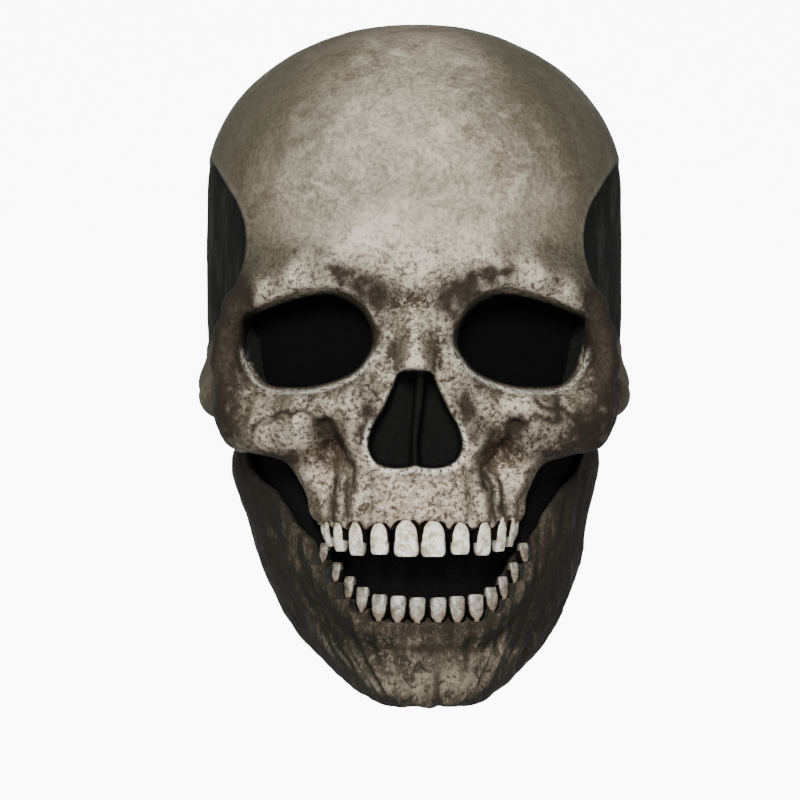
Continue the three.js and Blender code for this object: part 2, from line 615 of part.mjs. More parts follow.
// The skull: the outside, less its hollow, the eye holes, the nose hollow and the palate.
function skullShell() {
  const outside = solidOfForm(headForm,
    stations(-HALF - MARGIN, [HALF + MARGIN, FINE]),
    stations(-1.1 * REACH - MARGIN, [-0.44 * REACH, FINE], [1.22 * REACH + MARGIN, COARSE]),
    stations(height(0.735) - MARGIN, [height(0.303), FINE], [CROWN + MARGIN, COARSE - 1]));
  const below = height(0.797);
  let room = solidOfForm((x, y, z) => shared(headRoom(x, y, z), below - z, 2),
    stations(-HALF - COARSE, [HALF + COARSE, COARSE]),
    stations(-1.12 * REACH - MARGIN, [1.26 * REACH + MARGIN, COARSE]),
    stations(below - COARSE, [CROWN + MARGIN, COARSE]));
  for (const side of [1, -1])
    room = room.subtract(prism(
      widened(eyeOutline(side), SCREEN_RIM + 3), AHEAD, SCREEN_FRONT + SCREEN_THICK + 3, SCREEN_SLANT));
  const nose = outlineOf(NOSTRIL, 0, NOSE_POINTS);
  room = room.subtract(prism(widened(nose, 4), AHEAD, NOSE_FLOOR + 4));
  let shell = outside.subtract(room);
  for (const side of [1, -1]) {
    shell = shell.subtract(prism(eyeOutline(side), AHEAD, BEHIND));
    shell = shell.subtract(eyeScreen(side, GAP));
  }
  const septum = new THREE.BoxGeometry(SEPTUM_THICK, NOSE_FLOOR - SEPTUM_FRONT + 2, 0.2 * HEIGHT);
  septum.translate(SEPTUM_SHIFT, (NOSE_FLOOR + SEPTUM_FRONT) / 2 + 1, height(0.582));
  shell = shell.subtract(prism(nose, AHEAD, NOSE_FLOOR).subtract(solidOfGeometry(septum)));
  shell = shell.subtract(throatRoom([0.603, ...THROAT_LEVELS.slice(0, 4)], BEHIND));
  shell = shell.subtract(palateRoom()).subtract(mouthCloth(1.5 * GAP));
  return shell.subtract(toothSockets("upper"));
}

// The hollow of the palate, open below, inside the arch of the upper gum.
function palateRoom() {
  const down = level(PALATE_UNDER);
  const wide = along(MAXILLA.down, MAXILLA.half_width, down) * HALF - GUM_DEPTH;
  const deep = along(MAXILLA.down, MAXILLA.front, down) * REACH + FACE_AXIS - GUM_DEPTH;
  const points = Array.from({ length: 13 }, (_, i) => {
    const angle = (Math.PI * i) / 12;
    return new THREE.Vector2(wide * Math.cos(angle) + 1, FACE_AXIS - deep * Math.sin(angle) ** 0.8);
  });
  points.push(new THREE.Vector2(-wide + 1, BEHIND), new THREE.Vector2(wide + 1, BEHIND));
  const depth = 0.1 * HEIGHT;
  const geometry = new THREE.ExtrudeGeometry(new THREE.Shape(points), { depth, bevelEnabled: false });
  return solidOfGeometry(geometry.translate(0, 0, PALATE_UNDER - depth));
}

// The jaw: the outside, less the room for the chin and the mouth.
function jawShell() {
  const outside = solidOfForm(jawForm,
    stations(-0.955 * HALF - MARGIN, [HALF + MARGIN + 4, FINE]),
    stations(-0.98 * REACH - MARGIN, [JAW_BACK + MARGIN + 4, FINE]),
    stations(height(1) - MARGIN - 1, [height(0.537) + MARGIN, FINE]));
  const room = throatRoom([0.500, ...THROAT_LEVELS, 0.920, 0.945, 0.965], 0.4 * REACH);
  return outside.subtract(room).subtract(mouthCloth(1.5 * GAP)).subtract(toothSockets("lower"));
}

// The largest body of a cut, without the crumbs that a cut can leave.
function whole(cut) {
  return cut.decompose().reduce((a, b) => (b.volume() > a.volume() ? b : a));
}

const LATEX = new THREE.MeshStandardMaterial({ color: 0x9a8f7e, roughness: 0.7, metalness: 0 });
const JAW_LATEX = new THREE.MeshStandardMaterial({ color: 0x6a5f50, roughness: 0.75, metalness: 0 });
const ENAMEL = new THREE.MeshStandardMaterial({ color: 0xc9c0a6, roughness: 0.4, metalness: 0 });
const CLOTH = new THREE.MeshStandardMaterial({ color: 0x0b0b0c, roughness: 0.95, metalness: 0 });
const MESH_SCREEN = new THREE.MeshStandardMaterial({ color: 0x1d1d1e, roughness: 0.9, metalness: 0 });

function node(name, made, material) {
  const { vertProperties, triVerts } = whole(made).getMesh();
  const geometry = new THREE.BufferGeometry();
  geometry.setAttribute("position", new THREE.BufferAttribute(vertProperties, 3));
  geometry.setIndex(new THREE.BufferAttribute(triVerts, 1));
  geometry.computeVertexNormals();
  const mesh = new THREE.Mesh(geometry, material);
  mesh.name = name;
  return mesh;
}

const skullMask = new THREE.Group();
skullMask.add(node("skull_shell", skullShell(), LATEX));
skullMask.add(node("jaw_shell", jawShell(), JAW_LATEX));
skullMask.add(node("mouth_cloth", mouthCloth(0), CLOTH));
for (const [side, sign] of Object.entries(sides))
  skullMask.add(node(`eye_screen_${side}`, eyeScreen(sign, 0), MESH_SCREEN));
eachTooth((row, name, t, i, sign, shift) => {
  skullMask.add(node(name, tooth(t, i, sign, shift, 0), ENAMEL));
});

export default skullMask;
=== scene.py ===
# %% [markdown]
# # A skull mask, worn over the whole head
# The real object is a soft latex casting: a hollow skull with its jaw open, black cloth
# behind the teeth and dark mesh behind the eye holes. This lesson builds each of those pieces in turn.
# The CAD model gives the frame and the places; Blender gives the finish.

# %% Start: the CAD frame
import math
import bpy
import numpy as np
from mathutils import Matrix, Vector


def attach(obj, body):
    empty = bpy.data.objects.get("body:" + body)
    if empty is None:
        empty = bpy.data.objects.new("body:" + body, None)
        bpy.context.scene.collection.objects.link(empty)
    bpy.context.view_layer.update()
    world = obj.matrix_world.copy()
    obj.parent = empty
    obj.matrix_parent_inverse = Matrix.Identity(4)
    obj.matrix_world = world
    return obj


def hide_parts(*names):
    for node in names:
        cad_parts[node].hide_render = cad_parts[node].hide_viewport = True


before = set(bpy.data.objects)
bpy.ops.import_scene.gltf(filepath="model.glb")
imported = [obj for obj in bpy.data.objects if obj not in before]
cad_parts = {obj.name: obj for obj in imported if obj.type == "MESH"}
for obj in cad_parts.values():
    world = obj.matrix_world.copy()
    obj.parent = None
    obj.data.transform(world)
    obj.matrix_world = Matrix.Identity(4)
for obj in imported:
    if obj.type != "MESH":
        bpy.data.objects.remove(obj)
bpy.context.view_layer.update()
print("CAD nodes:", len(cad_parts))

# %% [markdown]
# ## Sizes
# Skulls are drawn on with a few real lengths. The tables below hold shares of these lengths, so that
# a row reads as a place on the head: how far across, how far forward, how far down from the crown.

# %% Sizes of the head, in millimetres
MM = 0.001
HEIGHT = 300.0
HALF = 94.0
REACH = 100.0
CROWN = 3.0
WALL = 3.0
FACE_WALL = 4.5
JAW_WALL = 4.0
GUM_DEPTH = 10.0
GUM_ENDS = 0.532
GUM_LOW = 0.9333
CHIN_LOW = 0.9433
CROWN_RISE = 78.0
HEAD_AXIS = 8.0
FACE_AXIS = -58.0
JAW_AXIS = -12.0
SCREEN_FRONT = -79.0
SCREEN_SLANT = 0.42
SCREEN_INNER = 20.0
NOSE_FLOOR = -93.0
FINE = 1.2
JAW_FINE = 1.0
print("cells:", FINE, "mm on the skull,", JAW_FINE, "mm on the jaw")

# %% [markdown]
# ## Small tools for sculpting with numbers
# A form is a rule that gives, for any place, its distance to the surface: below zero inside, above
# zero outside. Two forms melt together with a soft minimum, the way wet clay does. It is a good way
# to sculpt bone, because every hollow and ridge can be added on its own and still blends in.

# %% Soft joins and curves
def melt(a, b, blend):
    share = np.clip(0.5 + 0.5 * (b - a) / blend, 0, 1)
    return b + (a - b) * share - blend * share * (1 - share)


def shared(a, b, blend):
    return -melt(-a, -b, blend)


def smooth(t):
    t = np.clip(t, 0, 1)
    return t * t * (3 - 2 * t)


def table(names, lines):
    return {name: np.array([line[i] for line in lines], np.float32) for i, name in enumerate(names.split())}


def level(z):
    return (CROWN - z) / HEIGHT


def height(down):
    return CROWN - down * HEIGHT


def along(stations, values, at):
    """A smooth curve through the values of a column, level at both ends."""
    s = np.clip(at, stations[0], stations[-1])
    i = np.clip(np.searchsorted(stations, s, side="right") - 1, 0, len(stations) - 2)
    step = np.diff(values) / np.diff(stations)
    slope = np.zeros(len(values), np.float32)
    slope[1:-1] = (step[1:] + step[:-1]) / 2
    h = stations[i + 1] - stations[i]
    t = (s - stations[i]) / h
    rise = (2 * t**3 - 3 * t**2 + 1) * values[i] + (t**3 - 2 * t**2 + t) * slope[i] * h
    return rise + (3 * t**2 - 2 * t**3) * values[i + 1] + (t**3 - t**2) * slope[i + 1] * h


def lean(z):
    """The lower face drifts a little to one side, as a hung mask does."""
    return 0.06 * np.clip(-195 - z, 0, None)


# %% [markdown]
# ## The bones, as tables
# The cranium and the two jaws are stacks of level sections. The rims of the eye holes, the
# cheekbones, the nose bridge and the arches at the ears are rounded strands through a few points.

# %% Tables of the skull
CRANIUM = table("down half_width front back square", [
    [0.260, 0.990, 0.95, 1.20, 2.35],
    [0.377, 0.990, 0.96, 1.22, 2.40],
    [0.460, 0.985, 0.84, 1.17, 2.40],
    [0.543, 0.960, 0.70, 1.05, 2.30],
    [0.610, 0.895, 0.58, 0.92, 2.20],
    [0.677, 0.790, 0.48, 0.80, 2.10],
    [0.760, 0.700, 0.42, 0.72, 2.10]])
MAXILLA = table("down half_width front square", [
    [0.510, 0.32, 0.96, 2.2],
    [0.577, 0.40, 1.01, 2.3],
    [0.643, 0.43, 1.04, 2.4],
    [0.693, 0.45, 1.07, 2.5],
    [0.783, 0.465, 1.10, 2.5]])
RIM = table("across forward down thick", [
    [0.14, 0.89, 0.440, 0.060],
    [0.21, 0.92, 0.406, 0.060],
    [0.36, 0.93, 0.385, 0.055],
    [0.53, 0.88, 0.387, 0.055],
    [0.68, 0.79, 0.402, 0.060],
    [0.80, 0.70, 0.425, 0.065],
    [0.85, 0.66, 0.465, 0.060],
    [0.86, 0.68, 0.503, 0.065],
    [0.80, 0.70, 0.557, 0.095]])
CHEEK = table("across forward down thick", [
    [0.77, 0.67, 0.593, 0.115],
    [0.66, 0.77, 0.590, 0.120],
    [0.49, 0.86, 0.585, 0.120],
    [0.32, 0.92, 0.567, 0.090]])
ARCH = table("across forward down thick", [
    [0.82, 0.60, 0.570, 0.090],
    [0.90, 0.38, 0.550, 0.080],
    [0.91, 0.10, 0.533, 0.080],
    [0.89, -0.14, 0.527, 0.070]])
ROOT = table("across forward down thick", [
    [0.55, 0.80, 0.603, 0.090],
    [0.45, 0.80, 0.657, 0.070],
    [0.42, 0.77, 0.703, 0.060]])
BRIDGE = table("across forward down thick", [
    [0.00, 0.89, 0.417, 0.080],
    [0.00, 0.96, 0.453, 0.075],
    [0.00, 1.06, 0.507, 0.075]])
WING = table("across forward down thick", [
    [0.15, 0.91, 0.443, 0.050],
    [0.18, 0.95, 0.497, 0.055],
    [0.23, 0.965, 0.550, 0.065],
    [0.28, 0.97, 0.610, 0.060]])
SWELLS = table("across down wide tall rise", [
    [0.25, 0.345, 0.24, 0.035, 0.030],
    [0.00, 0.378, 0.13, 0.032, 0.025],
    [0.58, 0.368, 0.18, 0.030, 0.018],
    [0.33, 0.190, 0.28, 0.075, 0.015],
    [0.00, 0.420, 0.09, 0.018, -0.020],
    [0.38, 0.625, 0.10, 0.035, -0.022],
    [0.52, 0.520, 0.20, 0.020, 0.010]])
TEMPLE = {"forward": 0.04, "down": 0.34, "deep": 0.63, "tall": 0.14}
SOCKET = table("across down", [
    [0.757, 0.434], [0.577, 0.411], [0.415, 0.401], [0.306, 0.410], [0.221, 0.432],
    [0.180, 0.465], [0.203, 0.494], [0.284, 0.521], [0.415, 0.537], [0.550, 0.542],
    [0.676, 0.537], [0.748, 0.514], [0.780, 0.483], [0.784, 0.455]])
NOSTRIL = table("across down", [
    [0.000, 0.513], [0.072, 0.516], [0.103, 0.535], [0.148, 0.566], [0.197, 0.594],
    [0.215, 0.621], [0.188, 0.642], [0.126, 0.652], [0.054, 0.653], [0.000, 0.650]])
BASE = table("forward down", [
    [-1.20, 0.650], [-0.60, 0.675], [-0.32, 0.660], [-0.18, 0.600], [0.40, 0.605],
    [0.52, 0.738], [1.20, 0.738]])

# %% Tables of the jaw and of the teeth
JAW = table("down half_width front square", [
    [0.543, 0.810, 0.76, 2.2],
    [0.600, 0.815, 0.80, 2.2],
    [0.643, 0.860, 0.84, 2.2],
    [0.733, 0.795, 0.90, 2.2],
    [0.790, 0.750, 0.94, 2.2],
    [0.820, 0.715, 0.94, 2.2],
    [0.847, 0.675, 0.93, 2.2],
    [0.877, 0.630, 0.91, 2.2],
    [0.903, 0.580, 0.89, 2.3],
    [0.930, 0.508, 0.90, 2.5],
    [0.957, 0.425, 0.92, 2.8],
    [0.983, 0.345, 0.91, 3.0],
    [1.007, 0.285, 0.85, 3.0]])
EDGE = table("across down", [
    [0.00, 0.873], [0.22, 0.870], [0.29, 0.855], [0.34, 0.838], [0.40, 0.812], [0.45, 0.785],
    [0.50, 0.757], [0.58, 0.717], [0.66, 0.683], [0.75, 0.648], [0.80, 0.600], [0.83, 0.570],
    [0.92, 0.552]])
BORDER = table("forward down", [
    [-0.20, 0.760], [-0.10, 0.800], [0.00, 0.833], [0.20, 0.887], [0.40, 0.940],
    [0.60, 0.972], [0.80, 0.992], [1.20, 0.997]])
UPPER_TEETH = table("across forward turn wide deep gum tip", [
    [0.060, 1.050, 4, 0.104, 0.060, 0.724, 0.776],
    [0.180, 1.035, 14, 0.080, 0.058, 0.727, 0.773],
    [0.280, 0.985, 32, 0.076, 0.062, 0.727, 0.775],
    [0.355, 0.920, 50, 0.068, 0.062, 0.727, 0.770],
    [0.402, 0.845, 68, 0.066, 0.060, 0.727, 0.764],
    [0.420, 0.780, 80, 0.060, 0.056, 0.727, 0.755]])
LOWER_TEETH = table("across forward turn wide deep gum tip", [
    [0.047, 0.870, 2, 0.070, 0.052, 0.871, 0.836],
    [0.133, 0.862, 8, 0.068, 0.052, 0.871, 0.834],
    [0.217, 0.838, 16, 0.068, 0.056, 0.869, 0.832],
    [0.290, 0.812, 24, 0.058, 0.054, 0.856, 0.822],
    [0.345, 0.800, 30, 0.050, 0.052, 0.838, 0.807],
    [0.398, 0.785, 36, 0.048, 0.052, 0.815, 0.787],
    [0.448, 0.755, 42, 0.052, 0.052, 0.788, 0.760]])
UPPER_SHIFT = 0.8
LOWER_SHIFT = 1.6


# %% [markdown]
# ## Forms on a grid
# A strand only matters near itself, so it is worked out in its own small box of the grid. That keeps
# a fine grid quick.

# %% Grid tools
def grid(low, high, cell):
    """Three lists of places, one per axis, shaped so that they spread over a block."""
    axes = []
    for axis in range(3):
        count = int(round((high[axis] - low[axis]) / cell)) + 1
        shape = [1, 1, 1]
        shape[axis] = count
        end = low[axis] + cell * (count - 1)
        axes.append(np.linspace(low[axis], end, count, dtype=np.float32).reshape(shape))
    return axes


def strand_points(t):
    across = t["across"] * HALF
    forward = -t["forward"] * REACH
    return np.stack([across, forward, height(t["down"])], 1), t["thick"] * REACH


def strand(ax, y, z, t, blend):
    points, thick = strand_points(t)
    whole = None
    for i in range(len(points) - 1):
        start = points[i]
        run = points[i + 1] - start
        s = ((ax - start[0]) * run[0] + (y - start[1]) * run[1] + (z - start[2]) * run[2]) / (run @ run)
        s = np.clip(s, 0, 1)
        away = np.sqrt(
            (ax - start[0] - s * run[0]) ** 2
            + (y - start[1] - s * run[1]) ** 2
            + (z - start[2] - s * run[2]) ** 2)
        part = away - (thick[i] + (thick[i + 1] - thick[i]) * s)
        whole = part if whole is None else melt(whole, part, blend)
    return whole


def near(axes, low, high):
    """The slices of a grid that cover a box, in millimetres."""
    cuts = []
    for axis in range(3):
        places = axes[axis].ravel()
        start = int(np.searchsorted(places, low[axis]))
        end = int(np.searchsorted(places, high[axis]))
        cuts.append(slice(start, max(start + 1, end)))
    x, y, z = axes
    return tuple(cuts), x[cuts[0]], y[:, cuts[1]], z[:, :, cuts[2]]


def add_strand(form, axes, t, inner, blend):
    points, thick = strand_points(t)
    room = thick.max() + 14
    low = points.min(0) - room
    high = points.max(0) + room
    cuts, x, y, z = near(axes, (-high[0], low[1], low[2]), (high[0] + 6, high[1], high[2]))
    form[cuts] = melt(form[cuts], strand(np.abs(x - lean(z)), y, z, t, inner), blend)


# %% [markdown]
# ## From a form to a mesh
# The surface is where the form crosses zero. Each cell that it crosses gets one vertex, and four
# neighbouring cells share a face. The result is an even skin of small squares, ready for fine relief.

# %% Skin over a form
CORNERS = [(c & 1, (c >> 1) & 1, c >> 2) for c in range(8)]
EDGES = [(c, c ^ bit) for c in range(8) for bit in (1, 2, 4) if c < c ^ bit]


def skin_of(form, axes):
    places = [a.ravel() for a in axes]
    inside = form < 0
    nx, ny, nz = form.shape
    count = np.zeros((nx - 1, ny - 1, nz - 1), np.uint8)
    for a, b, c in CORNERS:
        count += inside[a:nx - 1 + a, b:ny - 1 + b, c:nz - 1 + c]
    active = (count > 0) & (count < 8)
    cells = np.argwhere(active)
    number = np.full(active.shape, -1, np.int32)
    number[active] = np.arange(len(cells))
    total = np.zeros((len(cells), 3))
    hits = np.zeros(len(cells))
    for p, q in EDGES:
        at_p = cells + CORNERS[p]
        at_q = cells + CORNERS[q]
        value_p = form[at_p[:, 0], at_p[:, 1], at_p[:, 2]].astype(float)
        value_q = form[at_q[:, 0], at_q[:, 1], at_q[:, 2]].astype(float)
        crossed = (value_p < 0) != (value_q < 0)
        share = np.where(crossed, value_p / np.where(crossed, value_p - value_q, 1), 0)
        for axis in range(3):
            start = places[axis][at_p[:, axis]]
            end = places[axis][at_q[:, axis]]
            total[:, axis] += crossed * (start + (end - start) * share)
        hits += crossed
    points = total / hits[:, None]
    faces = []
    for axis in range(3):
        u, v = (axis + 1) % 3, (axis + 2) % 3
        lower = np.take(inside, range(0, form.shape[axis] - 1), axis)
        upper = np.take(inside, range(1, form.shape[axis]), axis)
        edge = np.argwhere(lower != upper)
        edge = edge[(edge[:, u] > 0) & (edge[:, v] > 0)]
        edge = edge[(edge[:, u] < form.shape[u] - 1) & (edge[:, v] < form.shape[v] - 1)]
        step_u = np.eye(3, dtype=int)[u]
        step_v = np.eye(3, dtype=int)[v]
        around = [edge, edge - step_u, edge - step_u - step_v, edge - step_v]
        quad = np.stack([number[e[:, 0], e[:, 1], e[:, 2]] for e in around], 1)
        solid = inside[edge[:, 0], edge[:, 1], edge[:, 2]]
        quad[~solid] = quad[~solid][:, ::-1]
        faces.append(quad)
    return points, np.concatenate(faces)


def sample(form, axes, points):
    """The value of a block at free places, straight between its corners."""
    index = []
    share = []
    for axis in range(3):
        places = axes[axis].ravel()
        f = (points[:, axis] - places[0]) / (places[1] - places[0])
        i = np.clip(np.floor(f).astype(int), 0, len(places) - 2)
        index.append(i)
        share.append(f - i)
    value = np.zeros(len(points))
    for a, b, c in CORNERS:
        weight = 1.0
        for axis, bit in enumerate((a, b, c)):
            weight = weight * (share[axis] if bit else 1 - share[axis])
        value += weight * form[index[0] + a, index[1] + b, index[2] + c]
    return value


def spread(block, reach, axes):
    """A block averaged over a box of this reach, twice, so that it comes out soft."""
    cell = float(axes[0].ravel()[1] - axes[0].ravel()[0])
    r = max(1, int(round(reach / cell)))
    out = block.astype(np.float32)
    for _ in range(2):
        for axis in range(3):
            width = [(0, 0)] * 3
            width[axis] = (r + 1, r)
            run = np.cumsum(np.pad(out, width, mode="edge"), axis=axis, dtype=np.float64)
            ahead = np.take(run, range(2 * r + 1, run.shape[axis]), axis)
            behind = np.take(run, range(0, run.shape[axis] - 2 * r - 1), axis)
            out = ((ahead - behind) / (2 * r + 1)).astype(np.float32)
    return out


# %% [markdown]
# ## Noise for relief
# Bone is never smooth. A small repeatable field of random numbers, read softly between its corners,
# gives bumps of any size; several sizes added together look natural.

# %% Repeatable noise
LATTICE = np.random.default_rng(7).random((32, 32, 32)).astype(np.float32)


def bumps(points, size, shift=0.0):
    """Soft random values from -1 to 1 with features of about this size in millimetres."""
    f = points / size + shift
    i = np.floor(f).astype(int)
    t = f - i
    t = t * t * (3 - 2 * t)
    value = np.zeros(len(points))
    for a, b, c in CORNERS:
        weight = 1.0
        for axis, bit in enumerate((a, b, c)):
            weight = weight * (t[:, axis] if bit else 1 - t[:, axis])
        value += weight * LATTICE[(i[:, 0] + a) % 32, (i[:, 1] + b) % 32, (i[:, 2] + c) % 32]
    return value * 2 - 1


def rough(points, size, layers=3, shift=0.0):
    value = np.zeros(len(points))
    for n in range(layers):
        value += bumps(points, size / 2**n, shift + 5.3 * n) / 2**n
    return value


# %% [markdown]
# ## Meshes in the scene
# Points stay in millimetres while they are sculpted, and turn into metres when the mesh is made.

# %% Mesh tools
def mesh_object(name, points, faces):
    mesh = bpy.data.meshes.new(name)
    corners = faces.shape[1]
    mesh.vertices.add(len(points))
    mesh.vertices.foreach_set("co", (points * MM).astype(np.float32).ravel())
    mesh.loops.add(faces.size)
    mesh.loops.foreach_set("vertex_index", faces.astype(np.int32).ravel())
    mesh.polygons.add(len(faces))
    mesh.polygons.foreach_set("loop_start", (np.arange(len(faces)) * corners).astype(np.int32))
    mesh.update(calc_edges=True)
    mesh.validate()
    mesh.shade_smooth()
    made = bpy.data.objects.new(name, mesh)
    bpy.context.scene.collection.objects.link(made)
    return made


def thinned(made, most):
    """The same object with at most this many triangles, fewest where it is flat."""
    mesh = made.data
    triangles = sum(len(p.vertices) - 2 for p in mesh.polygons)
    if triangles <= most:
        return made
    fewer = made.modifiers.new("fewer", "DECIMATE")
    fewer.ratio = most / triangles
    ready = made.evaluated_get(bpy.context.evaluated_depsgraph_get())
    final = bpy.data.meshes.new_from_object(ready)
    made.modifiers.clear()
    made.data = final
    final.name = made.name
    bpy.data.meshes.remove(mesh)
    final.shade_smooth()
    return made


def points_of(made):
    flat = np.zeros(len(made.data.vertices) * 3, np.float32)
    made.data.vertices.foreach_get("co", flat)
    return flat.reshape(-1, 3).astype(float) / MM


def normals_of(made):
    flat = np.zeros(len(made.data.vertices) * 3, np.float32)
    made.data.vertices.foreach_get("normal", flat)
    return flat.reshape(-1, 3).astype(float)


def move_points(made, points):
    made.data.vertices.foreach_set("co", (points * MM).astype(np.float32).ravel())
    made.data.update()


def paint(made, name, values):
    """Keeps one value per vertex, which the finish reads by this name."""
    layer = made.data.attributes.new(name, "FLOAT", "POINT")
    layer.data.foreach_set("value", np.clip(values, 0, 1).astype(np.float32))


def finished(made, material, slot_name, *nodes):
    made.data.materials.append(material)
    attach(made, "root")
    if nodes:
        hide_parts(*nodes)
    return made


# %% [markdown]
# ## Outlines of the eye holes and of the nose
# Seen from the front, each is a smooth closed line. The distance to that line tells how far a place
# lies inside the hole.

# %% Outlines
def outline(t, mirrored=False):
    px = t["across"] * HALF
    pz = height(t["down"])
    if mirrored:
        px = np.concatenate([px, -px[-2:0:-1]])
        pz = np.concatenate([pz, pz[-2:0:-1]])
    corners = np.stack([px, pz], 1).astype(float)
    n = len(corners)
    line = []
    for i in range(n):
        a, b, c, e = corners[i - 1], corners[i], corners[(i + 1) % n], corners[(i + 2) % n]
        for k in range(8):
            s = k / 8
            bend = (c - a) * s + (2 * a - 5 * b + 4 * c - e) * s**2 + (3 * b - a - 3 * c + e) * s**3
            line.append(0.5 * (2 * b + bend))
    return np.array(line)


def to_outline(px, pz, line):
    """Distance to a closed line, below zero inside it."""
    px, pz = np.broadcast_arrays(px, pz)
    best = np.full(px.shape, 1e9)
    inside = np.zeros(px.shape, bool)
    for a, b in zip(line, np.roll(line, -1, 0)):
        run = b - a
        t = np.clip(((px - a[0]) * run[0] + (pz - a[1]) * run[1]) / (run @ run), 0, 1)
        best = np.minimum(best, (px - a[0] - t * run[0]) ** 2 + (pz - a[1] - t * run[1]) ** 2)
        if a[1] != b[1]:
            crossing = a[0] + (pz - a[1]) / (b[1] - a[1]) * run[0]
            inside ^= ((a[1] > pz) != (b[1] > pz)) & (px < crossing)
    return np.where(inside, -np.sqrt(best), np.sqrt(best)).astype(np.float32)


SOCKET_LINE = outline(SOCKET)
NOSE_LINE = outline(NOSTRIL, True)


def screen_plane(x):
    return SCREEN_FRONT + SCREEN_SLANT * (np.abs(x) - SCREEN_INNER)


# %% [markdown]
# ## The skull form
# The filled outside comes first, then the room inside, and last the holes. The eye holes narrow a
# little towards the mesh behind them, which gives the soft lit rims that the eye reads as bone.

# %% The skull form
def bowl(x, y, z, t, axis):
    s = level(z)
    w = along(t["down"], t["half_width"], s) * HALF
    f = along(t["down"], t["front"], s) * REACH + axis
    n = along(t["down"], t["square"], s)
    yy = np.minimum(y - axis, 0)
    e = ((np.abs(x) / w) ** n + (-yy / f) ** n) ** (1 / n) + 1e-6
    return np.sqrt(x * x + yy * yy) * (1 - 1 / e)


def cranium(x, y, z):
    s = level(z)
    w = along(CRANIUM["down"], CRANIUM["half_width"], s) * HALF
    n = along(CRANIUM["down"], CRANIUM["square"], s)
    front = along(CRANIUM["down"], CRANIUM["front"], s) * REACH + HEAD_AXIS
    back = along(CRANIUM["down"], CRANIUM["back"], s) * REACH - HEAD_AXIS
    yy = y - HEAD_AXIS
    deep = np.where(yy < 0, front, back)
    up = np.clip(z - (CROWN - CROWN_RISE), 0, None)
    around = (np.abs(x) / w) ** n + (np.abs(yy) / deep) ** n
    e = np.sqrt(around ** (2 / n) + (up / CROWN_RISE) ** 2.15) + 1e-6
    r = np.sqrt(x * x + yy * yy + up * up)
    return np.where(r < 30, -60, r * (1 - 1 / e)).astype(np.float32)


def temple_side(y, z):
    """Below one inside the oval field at the temple."""
    ahead = (y / REACH + TEMPLE["forward"]) / TEMPLE["deep"]
    return np.hypot(ahead, (level(z) - TEMPLE["down"]) / TEMPLE["tall"])


def temple_dip(x, y, z):
    ahead = smooth((-y / REACH - 0.08) / 0.4)
    lateral = smooth((np.abs(x) / HALF - 0.532) / 0.16)
    return (1 + 5 * ahead) * smooth((1 - temple_side(y, z)) * 12) * lateral


def face_ball(x, y, z):
    return 46 * (np.sqrt((x / 62) ** 2 + ((y + 50) / 46) ** 2 + ((z + 150) / 46) ** 2) - 1)


def upper_jaw(x, y, z):
    return shared(bowl(x, y, z, MAXILLA, FACE_AXIS), shared(y + 46, z + 152, 6), 10)


# %% [markdown]
# ## Seats for the teeth
# In the mould each tooth sits in a notch of the gum. The notch is cut a little wider than the tooth, so
# a dark line is left round it.

# %% Teeth seats in the gums
def tooth_place(t, i, side, shift):
    gum = height(t["gum"][i])
    centre = np.array([t["across"][i] * HALF * side + shift + lean(gum), -t["forward"][i] * REACH, gum])
    turn = math.radians(t["turn"][i]) * side
    return centre, turn, height(t["tip"][i]) - gum


def cut_seats(form, axes, t, shift, arch):
    """Leaves a rounded notch in the gum around the crown of each tooth."""
    for side in (1, -1):
        for i in range(len(t["across"])):
            centre, turn, run = tooth_place(t, i, side, shift)
            half_wide = t["wide"][i] * REACH / 2 + 0.5
            half_deep = t["deep"][i] * REACH / 2 + 0.4
            cuts, x, y, z = near(axes, centre - 16, centre + 16)
            u = (x - centre[0]) * math.cos(turn) + (y - centre[1]) * math.sin(turn)
            v = (x - centre[0]) * math.sin(turn) - (y - centre[1]) * math.cos(turn)
            up = np.clip(1 - ((z - centre[2]) * np.sign(run) + 0.5) / arch, 0, None)
            e = (np.abs(u / half_wide) ** 2.4 + up**2.4) ** (1 / 2.4) + 1e-6
            seat = shared(half_wide * (1 - 1 / e) * 2, -v - half_deep, 1)
            seat = shared(seat, v - half_deep - 9, 1)
            form[cuts] = shared(form[cuts], -seat, 0.8)


# %% Skull: outside, room and holes
skull_axes = grid((-98, -116, -223), (98, 128, 6.5), FINE)
x, y, z = skull_axes
lx = x - lean(z)
head = cranium(lx, y, z)
bare_head = head.copy()
cuts, fx, fy, fz = near(skull_axes, (-75, -116, -223), (75, 10, -80))
flx = fx - lean(fz)
part = melt(head[cuts], upper_jaw(flx, fy, fz), 10)
head[cuts] = melt(part, face_ball(flx, fy, fz), 16)
STRANDS = [(RIM, 4, 14), (CHEEK, 6, 8), (ARCH, 6, 8), (ROOT, 6, 10), (WING, 4, 9), (BRIDGE, 4, 8)]
for bones, inner, blend in STRANDS:
    add_strand(head, skull_axes, bones, inner, blend)
ahead = smooth((-y / REACH - 0.3) / 0.3)
for i in range(len(SWELLS["across"])):
    a = (np.abs(lx) - SWELLS["across"][i] * HALF) / (SWELLS["wide"][i] * HALF)
    b = (level(z) - SWELLS["down"][i]) / SWELLS["tall"][i]
    head -= SWELLS["rise"][i] * REACH * np.exp(-a * a - b * b) * ahead
dip = temple_dip(lx, y, z)
head += dip
solid_head = head.copy()
socket = to_outline(np.abs(lx[:, 0, :]), z[:, 0, :], SOCKET_LINE)[:, None, :]
nose = to_outline(lx[:, 0, :], z[:, 0, :], NOSE_LINE)[:, None, :]
behind = y - screen_plane(x)
funnel = shared(socket + behind * 0.10 + 1.5, behind - 1, 2)
through = shared(socket + 1.7, y + 30, 1)
kept_wall = bare_head + dip + 2 - 60 * smooth((-60 - y) / 3)
